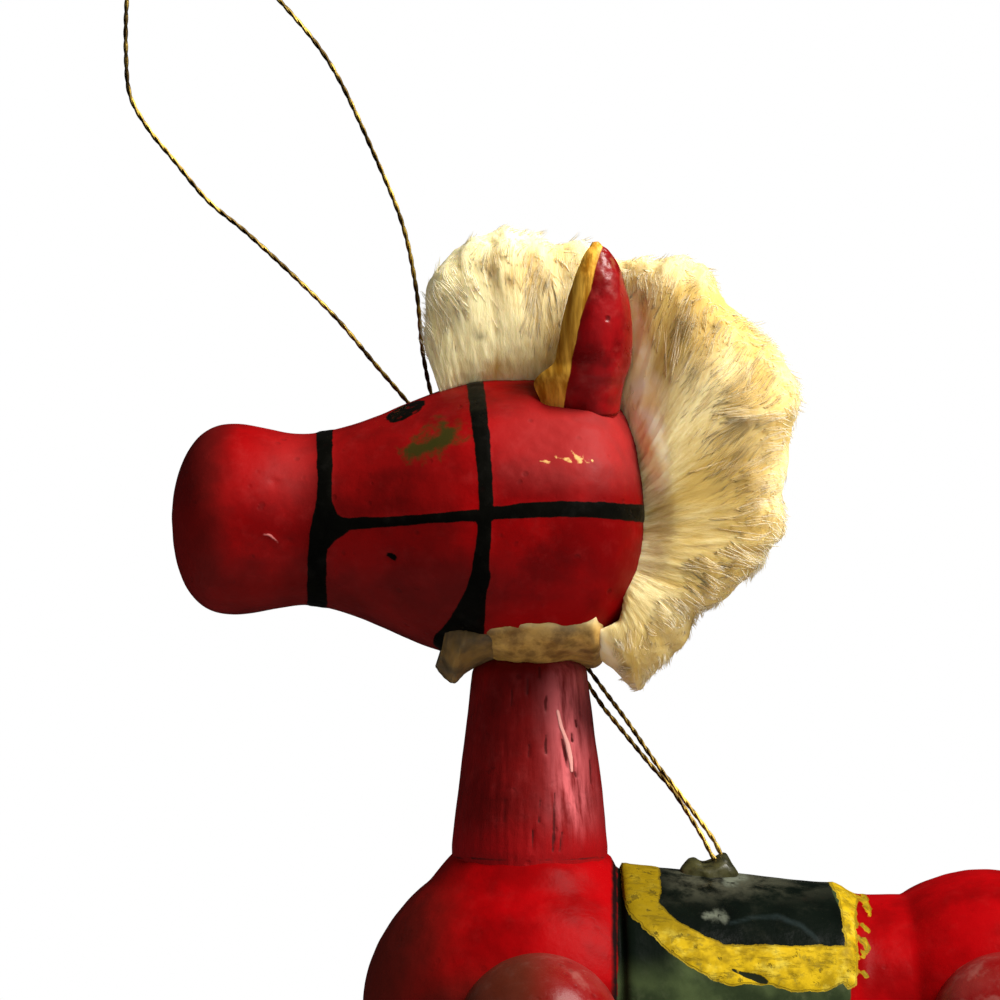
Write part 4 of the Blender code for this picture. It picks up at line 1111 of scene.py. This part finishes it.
# %% Cross bars
BAR_HALF, BAR_R = 12.4, 1.6
bar_x = MIDDLE_R * sin((ROCKER_HALF_ARC - CROSSBAR_INSET) / ROCKER_R)
for end, word in ((-1, "front"), (1, "rear")):
    outline = [(BAR_HALF, 0), (BAR_HALF, BAR_R), (-BAR_HALF, BAR_R), (-BAR_HALF, 0)]
    mesh = turned("crossbar_" + word, outline, 60, 36, ROCKER_PAINT)
    note(mesh, rubbed=np.full(len(mesh.vertices), 0.4))
    place = Matrix.Translation((end * bar_x * MM, 0, rocker_middle_z(bar_x) * MM))
    mesh.transform(place @ Matrix.Rotation(pi / 2, 4, "X"))
    keep("crossbar_paint_" + word, mesh, "green_painted_wood", "crossbar_" + word)

# %% [markdown]
# ## The glue drop
# A lump of glue, painted over with the seat, holds both ends of the thread. It is low and uneven.

# %% Glue drop
GLUE_HALF, GLUE_X, GLUE_Z = (1.5, 2.3, 1.2), 3.05, 49.0
THREAD_BUMPS = ((1.9, 0.3), (4.25, 0.45))     # x and height of the lumps round the thread's ends


def make_glue():
    made, tree, inputs = new_material("painted_glue", 0.2)
    look = old_paint(tree, (0.042, 0.040, 0.014), (0.015, 0.015, 0.007), (0.16, 0.15, 0.09),
                     size=0.0012, dust=0.5, pits=0.6, rough=0.34)
    finish(tree, inputs, look, 0.00008)
    return made


glue_mesh = turned("glue", [(cos(a), sin(a)) for a in np.linspace(0, pi, 40)], 50, 72, make_glue())
points = read(glue_mesh) / MM
shaped = np.sign(points) * np.abs(points) ** 0.8 * GLUE_HALF
shaped = np.stack([shaped[:, 1] + GLUE_X, shaped[:, 0], shaped[:, 2] + GLUE_Z], 1)
shaped += 0.16 * ripple(shaped, 1.9, 61)[:, None] * (0.3, 0.6, 1) + 0.05 * ripple(shaped, 0.7, 62)[:, None]
for x, rise in THREAD_BUMPS:
    shaped[:, 2] += rise * spot(shaped, x, 0, 0.7, 0.9) * soft(shaped[:, 2], 49.2, 50)
move(glue_mesh, shaped * MM)
face_outwards(glue_mesh)
keep("glue_drop_paint", glue_mesh, "painted_glue", "glue_drop")

# %% [markdown]
# ## The mane
# The mane is a strip of sheepskin or rabbit fur, glued round the back of the head from the forehead to
# the jaw. Rays give its reach: each starts at the hide and ends at the tips of the fur. The bare hide
# shows as a waxy band under the jaw. Over the rest lies a soft core of matted fur, and thousands of
# separate tufts grow out of the core and lie along it.

# %% Mane rays
MANE_RAYS = [   # x and z of the hide, x and z of the tips, half widths at the hide and at the tips
    (-17.2, 85.7, -18.3, 89.2, 2.2, 2.0), (-16.5, 86.0, -18.2, 93.0, 2.6, 3.2),
    (-15.2, 86.5, -16.6, 95.2, 2.8, 4.0),
    (-13.2, 86.8, -14.1, 97.2, 2.8, 4.4), (-11.0, 86.8, -11.7, 97.6, 2.5, 4.2),
    (-8.8, 86.8, -8.9, 96.8, 2.1, 2.6),
    (-6.6, 86.7, -5.8, 96.3, 1.8, 1.9), (-4.8, 86.4, -3.5, 95.2, 1.8, 2.0),
    (-3.0, 85.6, -0.3, 95.6, 3.5, 5.4),
    (-1.6, 84.2, 2.8, 94.6, 5.2, 6.4), (-0.6, 82.4, 5.3, 91.0, 6.6, 7.4), (0.1, 80.6, 8.3, 88.9, 7.0, 8.0),
    (0.5, 78.8, 9.6, 84.8, 7.2, 8.2), (0.7, 76.6, 8.5, 79.0, 7.2, 8.2), (0.6, 74.4, 8.1, 74.0, 7.2, 8.0),
    (0.1, 72.2, 5.4, 71.2, 7.2, 7.8), (-0.7, 70.2, 2.3, 68.2, 7.2, 7.6), (-1.9, 68.4, 0.3, 65.4, 7.2, 7.4),
    (-3.2, 66.9, -2.0, 63.2, 7.1, 7.2), (-4.6, 65.7, -4.2, 64.1, 7.0, 7.0),
    (-6.2, 65.2, -6.1, 64.2, 7.0, 7.0),
    (-10.4, 65.2, -10.4, 64.2, 7.0, 7.0), (-14.6, 65.4, -14.8, 63.9, 7.0, 7.0),
    (-15.8, 66.0, -16.2, 63.4, 6.6, 6.8),
    (-16.8, 66.9, -17.4, 64.6, 5.6, 5.8)]
HIDE_BEND = 11.6     # the radius that the strip is bent to, across the head
print("rays along the mane:", len(MANE_RAYS))

# %% Fur strip
def strip_grid(rows, columns, start, depth, widen, sharp=0.6):
    """Rings round the fur strip. start and depth give where a ring begins and ends along its ray."""
    shares = np.linspace(0, 1, rows)
    ray = smooth_rows(MANE_RAYS, shares)
    hide, out = ray[:, 0:2], ray[:, 2:4] - ray[:, 0:2]
    length = np.linalg.norm(out, axis=1)
    out = out / length[:, None]
    low, high = start(shares, length), depth(shares, length)
    a = np.linspace(0, 2 * pi, columns + 1)[:-1]
    u = np.sign(np.cos(a)) * np.abs(np.cos(a)) ** sharp
    v = 0.5 + 0.5 * np.sign(np.sin(a)) * np.abs(np.sin(a)) ** sharp
    reach = low[:, None] + (high - low)[:, None] * v
    share_out = np.clip(reach / length[:, None], 0, 1)
    half = ray[:, 4:5] + (ray[:, 5:6] - ray[:, 4:5]) * share_out + widen(shares)[:, None]
    side = half * u * (1 - 0.15 * soft(-reach, 0, 2.6))
    drop = (HIDE_BEND - np.sqrt(HIDE_BEND**2 - side**2)) * out[:, 1:] ** 2
    x, z = (hide[:, i:i + 1] + out[:, i:i + 1] * (reach - drop) for i in (0, 1))
    return SimpleNamespace(grid=np.stack([x, side, z], -1), shares=shares, length=length, out=out,
                           u=np.broadcast_to(u, reach.shape), share_out=share_out, reach=reach, side=side)


def below(shares):
    """1 where the strip passes under the jaw."""
    return soft(shares, 0.76, 0.83) * soft(-shares, -0.95, -0.88)


print("the strip is under the jaw from", 0.83, "to", 0.88, "of its length")

# %% Hide
def mottled(tree, clouds, dark, pale):
    """Two colours in soft clouds."""
    return mixed(tree, between(tree, clouds, 0.35, 0.65), dark, pale)


def make_hide():
    """Tanned skin, cream and slightly waxy, with painted shade in brown under the jaw."""
    made, tree, inputs = new_material("cream_hide", 0.3)
    at = object_place(tree)
    cream = mottled(tree, cloudy(tree, at, 0.003, 4.0), (0.92, 0.74, 0.34), (0.97, 0.86, 0.52))
    dark_brown = mottled(tree, cloudy(tree, at, 0.0022, 6.0, 0.65), (0.13, 0.058, 0.007), (0.44, 0.25, 0.055))
    # painted shade: the hide turns dark brown under the jaw
    feed(tree, inputs["Base Color"], mixed(tree, times(tree, noted(tree, "under"), 0.97), cream, dark_brown))
    feed(tree, inputs["Roughness"], between(tree, cloudy(tree, at, 0.0015, 4.0), 0.3, 0.7, 0.28, 0.5))
    feed(tree, inputs["Normal"], bumped(tree, cloudy(tree, at, 0.0011, 4.0), 0.00012))
    return made


def hide_thick(shares, length):
    """Seen as a bare band under the jaw and hidden elsewhere."""
    return -2.2 + (length + 1.65 + 0.15 * np.sin(shares * 95)) * below(shares)


hide = strip_grid(320, 56, lambda s, l: np.full(len(s), -2.6), hide_thick,
                  lambda s: 3.0 * soft(s, 0.70, 0.78) - 2.4, 0.45)
hide_mesh = skin("hide", hide.grid * MM)
points, facing, _, flat = surface(hide_mesh)
push_out(hide_mesh, points, facing, 0.14 * ripple(flat, 3.5, 71) + 0.06 * ripple(flat, 1.2, 72))
# under: painted shade below the jaw
note(hide_mesh, under=soft(-points[:, 2] / MM, -69.5, -67.5))
hide_mesh.materials.append(make_hide())
keep("mane_hide", hide_mesh, "cream_fur")

# %% [markdown]
# ## Fur
# A tuft is a tapered, three-sided tube. The node tree scatters roots over the core, sends each tuft
# along the core's own combing direction, waves it, and draws neighbours together into locks. The
# core keeps the direction, the length and the tone of the fur at each of its points.

# %% Fur material
def make_fur():
    made, tree, inputs = new_material("cream_fur", 0.2, Subsurface_Weight=0.8,
                                      Subsurface_Radius=(1.0, 0.8, 0.5), Subsurface_Scale=0.0012)
    tone = noted(tree, "tone")
    tips = mixed(tree, tone, (0.58, 0.39, 0.10), (0.90, 0.78, 0.41))
    roots = mixed(tree, tone, (0.56, 0.37, 0.09), (0.88, 0.76, 0.39))
    colour = mixed(tree, between(tree, noted(tree, "along"), 0.0, 0.8), roots, tips)
    # painted shade: the tuft under the jaw is darkened, and a few dark spots
    feed(tree, inputs["Base Color"], mixed(tree, noted(tree, "dirt"), colour, (0.11, 0.062, 0.010)))
    feed(tree, inputs["Roughness"], between(tree, tone, 0.0, 1.0, 0.62, 0.42))
    return made


FUR = make_fur()
print(FUR.name, len(FUR.node_tree.nodes), "nodes")

# %% Matted fur material
def make_fur_core():
    """The matted fur between the tufts, with fibres that run along the core's own direction."""
    made, tree, inputs = new_material("matted_fur", 0.15, Subsurface_Weight=0.5,
                                      Subsurface_Radius=(1.0, 0.8, 0.45), Subsurface_Scale=0.0015)
    fine = cloudy(tree, noted(tree, "fibres", "Vector"), 0.00035, 5.0, 0.65)
    tone = plus(tree, noted(tree, "tone"), times(tree, minus(tree, fine, 0.5), 0.9))
    fur = mixed(tree, between(tree, tone, 0.0, 1.0), (0.59, 0.40, 0.11), (0.92, 0.80, 0.44))
    bare, at = noted(tree, "skin"), object_place(tree)
    waxy = mottled(tree, cloudy(tree, at, 0.0025, 4.0), (0.90, 0.68, 0.30), (0.96, 0.82, 0.56))
    # painted shade under the jaw, and a few dark spots, in dark brown
    dark_brown = mottled(tree, cloudy(tree, at, 0.0018, 5.0, 0.6), (0.024, 0.011, 0.0015), (0.14, 0.07, 0.012))
    feed(tree, inputs["Base Color"], mixed(tree, noted(tree, "dirt"), mixed(tree, bare, fur, waxy), dark_brown))
    feed(tree, inputs["Roughness"], minus(tree, 0.7, times(tree, bare, 0.3)))
    feed(tree, inputs["Normal"], bumped(tree, times(tree, fine, minus(tree, 1.0, bare)), 0.00010))
    return made


FUR_CORE = make_fur_core()
print(FUR_CORE.name, len(FUR_CORE.node_tree.nodes), "nodes")

# %% [markdown]
# ## The tufts' node tree
# The tree works in three steps. It scatters roots and gives each its own dice, it bends a short line
# on each root into a hair, and it makes the lines thin tubes. Blender's hair curves would do the same,
# but an exported model needs plain faces.

# %% Helpers for the tufts' tree
def named(tree, name, kind):
    return put(tree, "GeometryNodeInputNamedAttribute", {"Name": name}, data_type=kind).outputs["Attribute"]


def stored(tree, geometry, name, value, kind):
    node = put(tree, "GeometryNodeStoreNamedAttribute", {"Name": name}, data_type=kind, domain="POINT")
    feed(tree, node.inputs["Geometry"], geometry)
    feed(tree, node.inputs["Value"], value)
    return node.outputs[0]


print("attribute helpers:", named.__name__, stored.__name__)

# %% Scattered roots
STRAY = 0.10     # how far a hair strays from the combing, for each unit of its length


def scattered_roots(tree, ins):
    """Roots on the haired faces, each with its place, its way up and a dice throw of its own."""
    haired = put(tree, "FunctionNodeCompare", {0: named(tree, "hair", "FLOAT"), 1: 0.0003}, data_type="FLOAT")
    scatter = put(tree, "GeometryNodeDistributePointsOnFaces", {
        "Mesh": ins["Core"], "Selection": haired.outputs[0], "Density": ins["Density"], "Seed": ins["Seed"]},
        distribute_method="RANDOM").outputs
    throw = put(tree, "FunctionNodeRandomValue", {2: 0.0, 3: 1.0, "Seed": plus(tree, ins["Seed"], 3.0)},
                data_type="FLOAT").outputs[1]
    place = put(tree, "GeometryNodeInputPosition").outputs[0]
    stray = put(tree, "FunctionNodeRandomValue", {0: (-STRAY,) * 3, 1: (STRAY,) * 3, "Seed": ins["Seed"]},
                data_type="FLOAT_VECTOR").outputs[0]
    roots = stored(tree, scatter["Points"], "root", place, "FLOAT_VECTOR")
    roots = stored(tree, roots, "up", scatter["Normal"], "FLOAT_VECTOR")
    roots = stored(tree, roots, "own", throw, "FLOAT")
    flow = vector_calc(tree, "ADD", named(tree, "flow", "FLOAT_VECTOR"), stray)
    return stored(tree, roots, "flow", flow, "FLOAT_VECTOR")


print("every root keeps: root, up, own, flow")

# %% Bent hairs
def bent_place(tree, ins, t, own):
    """Where a point of a hair lies: along the flow, drawn into its lock, waved and arched."""
    root, up, flow = (named(tree, name, "FLOAT_VECTOR") for name in ("root", "up", "flow"))
    length = times(tree, named(tree, "hair", "FLOAT"), plus(tree, 0.75, times(tree, own, 0.35)))
    reach = scaled(tree, flow, length)
    tip = vector_calc(tree, "ADD", root, reach)
    cells = put(tree, "ShaderNodeTexVoronoi", {
        "Vector": tip, "Scale": calc(tree, "DIVIDE", 1.0, ins["Lock size"])})
    gather = scaled(tree, vector_calc(tree, "SUBTRACT", cells.outputs["Position"], tip),
                    times(tree, calc(tree, "POWER", t, 1.5), ins["Gather"]))
    curl_at = vector_calc(tree, "ADD", scaled(tree, root, 260.0), scaled(tree, flow, times(tree, t, 0.9)))
    curl = put(tree, "ShaderNodeTexNoise", {"Vector": curl_at, "Scale": 1.0, "Detail": 2.0}).outputs["Color"]
    curl = scaled(tree, vector_calc(tree, "SUBTRACT", curl, (0.5, 0.5, 0.5)),
                  times(tree, t, times(tree, ins["Wave"], 4.0)))
    arch = minus(tree, times(tree, calc(tree, "SINE", times(tree, t, pi)), ins["Lift"]),
                 times(tree, minus(tree, 1.0, t), 0.00006))
    arch = times(tree, arch, plus(tree, 0.35, own))
    place = vector_calc(tree, "ADD", root, scaled(tree, reach, t))
    for push in (gather, curl, scaled(tree, up, arch)):
        place = vector_calc(tree, "ADD", place, push)
    return place


print("a hair is bent by its lock, its wave and its arch")

# %% Geometry Nodes tree: tufts
def make_tufts():
    tree, ins, outs = new_group("Tufts", "GeometryNodeTree", [
        ("Core", "Geometry"), ("Density", "Float", 8e6), ("Thickness", "Float", 0.00005),
        ("Lift", "Float", 0.0002), ("Wave", "Float", 0.0003), ("Lock size", "Float", 0.0012),
        ("Gather", "Float", 0.6), ("Seed", "Int", 1), ("Material", "Material"),
    ], [("Tufts", "Geometry")])
    t = put(tree, "GeometryNodeSplineParameter").outputs["Factor"]
    own = named(tree, "own", "FLOAT")
    line = put(tree, "GeometryNodeCurvePrimitiveLine", {"End": (0, 0, 0.001)}).outputs[0]
    line = put(tree, "GeometryNodeResampleCurve", {"Curve": line, "Count": 5}).outputs[0]
    roots, place = scattered_roots(tree, ins), bent_place(tree, ins, t, own)
    copies = put(tree, "GeometryNodeInstanceOnPoints", {"Points": roots, "Instance": line})
    hairs = put(tree, "GeometryNodeRealizeInstances", {0: copies.outputs[0]}).outputs[0]
    hairs = put(tree, "GeometryNodeSetPosition", {"Geometry": hairs, "Position": place}).outputs[0]
    hairs = stored(tree, hairs, "along", t, "FLOAT")
    shade = plus(tree, named(tree, "tone", "FLOAT"), times(tree, minus(tree, own, 0.5), 0.15))
    hairs = stored(tree, hairs, "tone", put(tree, "ShaderNodeClamp", {0: shade}).outputs[0], "FLOAT")
    thick = times(tree, ins["Thickness"], plus(tree, 0.7, times(tree, own, 0.6)))
    thick = times(tree, thick, minus(tree, 1.08, calc(tree, "POWER", t, 1.6)))
    section = put(tree, "GeometryNodeCurvePrimitiveCircle", {"Resolution": 3, "Radius": 1.0}).outputs[0]
    tubes = put(tree, "GeometryNodeCurveToMesh", {"Curve": hairs, "Profile Curve": section, "Scale": thick,
                                                  "Fill Caps": True}).outputs[0]
    return end_tree(tree, tubes, ins, outs)


TUFTS = make_tufts()
print("tuft nodes:", len(TUFTS.nodes))

# %% Colour of the mane
# x, z, half width, half height and strength of the darker, yellower fur; less than 0 is paler. The one beside
# the ear, at x -8.6, is painted shade.
YELLOWED_AND_SHADED = [(1.9, 91.0, 2.6, 2.6, 0.72), (3.6, 78.5, 2.4, 1.8, 0.4), (-8.6, 88.8, 2.0, 2.6, 0.45),
            (-12.5, 87.2, 2.0, 1.0, 0.4), (-1.0, 66.3, 3.0, 2.2, 0.4), (0.9, 72.6, 2.6, 2.2, 0.25),
            (-11.9, 93.6, 2.0, 2.4, 0.28), (2.4, 84.6, 2.6, 2.6, -0.3)]
BARE_EDGE = [(-2.6, 92.6, 0.05), (-2.2, 89.5, 0.4), (-1.9, 86.0, 0.8), (-1.6, 83.5, 1.0), (-1.0, 81.0, 0.9),
             (-0.6, 78.6, 0.5)]
DARK_SPOTS = [(-14.2, 89.6), (3.5, 90.2), (-3.2, 64.6)]
print("yellower or paler places:", len(YELLOWED_AND_SHADED), " dark spots:", len(DARK_SPOTS))

# %% Mane core
def scallops(shares):
    """Rounded locks along the outline of the fur, with notches between them."""
    waves = 0.5 * np.abs(np.sin(47 * shares + 0.4)) + 0.35 * np.abs(np.sin(83 * shares + 1.3)) - 0.5
    return waves * soft(-shares, -0.80, -0.74) * (0.45 + 0.55 * soft(shares, 0.28, 0.38))


def ends(values):
    """Values on a skin's rings, and for the two points that close its ends."""
    return np.vstack([values.reshape(-1, values.shape[-1]), values[:1].mean(1), values[-1:].mean(1)])


def spread(values, like):
    """One value for each point of a skin, from one for each ring or point of its grid."""
    return ends(np.broadcast_to(values, like.shape)[..., None])[:, 0]


core = strip_grid(260, 110, lambda s, l: -1.1 - 3.4 * soft(s, 0.30, 0.36) * soft(-s, -0.76, -0.68),
                  lambda s, l: np.maximum(l - 0.1 - 0.95 * below(s) + scallops(s), 0.05) - 0.3 * below(s),
                  lambda s: -0.3 - 0.5 * below(s))
core_mesh = skin("mane_core", core.grid * MM)
print("core", len(core_mesh.vertices), "points")

# %% Locks of the mane
arc_long = np.concatenate([[0], np.cumsum(np.linalg.norm(np.diff(core.grid[:, 0], axis=0), axis=1))])
arc_here = np.broadcast_to(arc_long[:, None], core.side.shape)
combed = ends(np.stack([arc_here, core.reach * 0.22, core.side * 0.5], -1))
points, facing, at, flat = surface(core_mesh)
outer, share_here = spread(core.share_out, core.side), spread(core.shares[:, None], core.side)
long_here = spread(core.length[:, None], core.side)
lock = ripple(combed, 2.6, 81) + 0.45 * ripple(combed, 1.1, 82)
rise = lock * (0.05 + 0.14 * outer**2) + 0.05 * ripple(combed, 0.4, 83)
rise = rise * (0.3 + 0.7 * soft(long_here, 1, 6))
push_out(core_mesh, points, facing, rise)
print("the locks rise up to", round(float(rise.max()), 2), "mm")

# %% Combing of the mane
fan = np.stack([np.broadcast_to(core.out[:, :1], core.side.shape), 0.35 * core.u * core.share_out,
                np.broadcast_to(core.out[:, 1:], core.side.shape)], -1)
down_strip = np.gradient(core.grid, axis=0)
down_strip /= np.maximum(np.linalg.norm(down_strip, axis=2), 0.001)[..., None]
lying = soft(core.share_out, 0.80, 0.96)[..., None]
flow = ends(fan * (1 - 0.97 * lying) + down_strip * 0.9 * lying)
sweep = ripple(flat, 9, 84) * 0.30 + ripple(flat, 3.2, 85) * 0.30
flow = flow + np.cross(flow, (0, 1, 0)) * sweep[:, None]
flow /= np.linalg.norm(flow, axis=1)[:, None]
under_jaw = soft(share_here, 0.77, 0.80)
bare = soft(-stroke(at, BARE_EDGE), -0.35, 0.15)
hair = np.clip((1 - outer) * long_here * 0.5, 0, 3.4)
hair = np.maximum(hair, 0.65 * soft(outer, 0.80, 0.90) * soft(long_here, 1, 4)) * (1 - under_jaw) * (1 - bare)
print("the longest hair is", round(float(hair.max()), 2), "mm")

# %% Tone of the mane
tone = 0.58 + 0.12 * ripple(flat * (1, 0.5, 1), 5.5, 86) + 0.05 * lock
# painted light and shade: the fur is paler in front and darker behind, to even out the lamp at the right
tone += 0.35 * soft(-at[:, 0], 7, 12) - 0.24 * soft(at[:, 0], -3, 3)
for *place, deep in YELLOWED_AND_SHADED:
    tone -= deep * spot(at, *place)
# painted shade darkens the tuft under the jaw; the dark spots are added to it
dirt = 0.94 * soft(share_here, 0.87, 0.90)
for x, z in DARK_SPOTS:
    dirt = np.maximum(dirt, 0.8 * spot(at, x, z, 0.45, 0.3) * (points[:, 1] < 0))
note(core_mesh, flow=flow, hair=hair * MM, tone=np.clip(tone + 0.10 * np.minimum(lock, 0), 0, 1), dirt=dirt,
     skin=np.maximum(bare, under_jaw), fibres=combed * MM)
core_mesh.materials.append(FUR_CORE)
tufts_source = core_mesh.copy()
keep("mane_core", core_mesh, "cream_fur", "mane")

# %% Mane tufts
def grow_tufts(name, source, **values):
    mesh = grown(name, source, TUFTS, Material=FUR, **values)
    mesh.shade_smooth()
    keep(name, mesh, "cream_fur")


for seed in (1, 2):
    grow_tufts(f"mane_tufts_{seed}", tufts_source.copy(), Density=3.3e6, Thickness=0.000032, Lift=0.00001,
               Wave=0.00014, Lock_size=0.0018, Gather=0.35, Seed=seed)

# %% [markdown]
# ## The tail
# The tail is a tuft of the same fur on the rump. It hangs in a soft curve and comes to a ragged point.
# The mane's materials and tree serve again: only the core's shape and the tufts' sizes are new.

# %% Tail line
def tail_line(t):
    """A curve of four points, from the rump's end up, over and down."""
    end, root, arch, tip = 34.7, (-2.3, 4.0), (5.3, 7.9), (7.3, -18.1)
    a, b, d = (np.array((end + x, 0, BODY_Z + z)) for x, z in (root, arch, tip))
    c = d + (b - d) * 0.52
    t = np.asarray(t)[:, None]
    return a * (1 - t) ** 3 + b * 3 * t * (1 - t) ** 2 + c * 3 * t * t * (1 - t) + d * t**3


t = np.linspace(0, 1, 120)
middle = tail_line(t)
ahead = np.gradient(middle, axis=0)
ahead /= np.linalg.norm(ahead, axis=1)[:, None]
print("the tail hangs", round(float(middle[0, 2] - middle[-1, 2]), 1), "mm below its root")

# %% Tail core
a = np.linspace(0, 2 * pi, 65)[:-1]
swell = (0.55 + 0.45 * np.sin(pi * np.minimum(t * 1.25, 1) / 2)) * np.sqrt(np.maximum(1 - t**5, 0.03)) * 0.86
over = np.cross((0, 1, 0), ahead)
ring = 4.4 * np.cos(a)[None, :, None] * np.array((0, 1, 0)) + 2.9 * np.sin(a)[None, :, None] * over[:, None]
grid = middle[:, None] + swell[:, None, None] * ring
tail_mesh = skin("tail_core", grid * MM)
points, facing = read(tail_mesh), read(tail_mesh, "normal")
rolled = np.broadcast_arrays(t[:, None] * 26 * 0.22, 4 * np.cos(a)[None], 4 * np.sin(a)[None])
combed = ends(np.stack(rolled, -1))
lock = ripple(combed, 2.2, 91) + 0.4 * ripple(combed, 1.0, 92)
push_out(tail_mesh, points, facing, 0.28 * lock)
along = spread(t[:, None], grid[..., 0])
note(tail_mesh, flow=ends(np.broadcast_to(ahead[:, None], grid.shape)) + 0.12 * facing,
     hair=(1.2 + 4.5 * (1 - along)) * MM, tone=np.clip(0.55 + 0.15 * lock, 0, 1), dirt=along * 0,
     fibres=combed * MM)
tail_mesh.materials.append(FUR_CORE)
tail_source = tail_mesh.copy()
keep("tail_core", tail_mesh, "cream_fur", "tail")
grow_tufts("tail_tufts", tail_source, Density=4.0e6, Thickness=0.00006, Lift=0.0002, Wave=0.0003,
           Lock_size=0.0014, Gather=0.5, Seed=7)

# %% [markdown]
# ## Floor and light
# A plain pale disc is the floor. A large soft lamp at the upper right in front gives the broad
# highlights, a weak one fills low from the front on the right, and a third lights dimly from behind on the
# left.

# %% Floor
FLOOR_R, FLOOR_DROP = 0.15, 0.00005     # in metres; the floor lies a hair under the rockers


def make_floor():
    made, tree, inputs = new_material("pale_floor", 0.2, Roughness=0.8)
    clouds = cloudy(tree, object_place(tree), 0.05, 2.0)
    feed(tree, inputs["Base Color"], mixed(tree, clouds, (0.60, 0.60, 0.59), (0.64, 0.64, 0.63)))
    return made


floor_mesh = bpy.data.meshes.new("floor")
ring = [(FLOOR_R * cos(2 * pi * i / 96), FLOOR_R * sin(2 * pi * i / 96), -FLOOR_DROP) for i in range(96)]
floor_mesh.from_pydata(ring, [], [list(range(96))])
floor_mesh.materials.append(make_floor())
floor = bpy.data.objects.new("floor", floor_mesh)
bpy.context.scene.collection.objects.link(floor)
floor.visible_glossy = False
print("floor", 2 * FLOOR_R, "m across")

# %% Lights
def lamp(name, place, size, power, colour=(1, 1, 1), mirrored=True):
    """A round soft lamp that looks at the middle of the horse."""
    light = bpy.data.lights.new(name, "AREA")
    light.shape, light.size, light.energy, light.color = "DISK", size, power, colour
    holder = bpy.data.objects.new(name, light)
    bpy.context.scene.collection.objects.link(holder)
    holder.location = place
    holder.visible_glossy = mirrored
    holder.rotation_euler = (Vector((-0.005, 0, 0.065)) - Vector(place)).to_track_quat("-Z", "Y").to_euler()


lamp("key", (0.235, -0.127, 0.39), 0.24, 4.5, (1.0, 0.97, 0.92))
lamp("fill", (0.06, -0.42, 0.10), 0.30, 0.42, mirrored=False)
lamp("rim", (-0.30, 0.20, 0.16), 0.12, 0.20, mirrored=False)
print("lights:", len(bpy.data.lights))

# %% White background
world = bpy.data.worlds.new("studio")
bpy.context.scene.world = world
world.use_nodes = True
sky = world.node_tree
sky.nodes.clear()
white = put(sky, "ShaderNodeBackground", {"Color": (1, 1, 1, 1), "Strength": 1.0}).outputs[0]
rays = put(sky, "ShaderNodeLightPath").outputs
strength = minus(sky, 0.11, times(sky, rays["Is Glossy Ray"], 0.09))
dim = put(sky, "ShaderNodeBackground", {"Color": (1, 1, 1, 1), "Strength": strength}).outputs[0]
pick = put(sky, "ShaderNodeMixShader", {0: rays["Is Camera Ray"], 1: dim, 2: white})
put(sky, "ShaderNodeOutputWorld", {0: pick.outputs[0]})
print("the camera sees white, and the horse gets only a dim even light from it")

# %% Sizes and the end
total = sum(sum(len(face.vertices) - 2 for face in piece.data.polygons) for piece in PIECES)
print("triangles in all:", total)
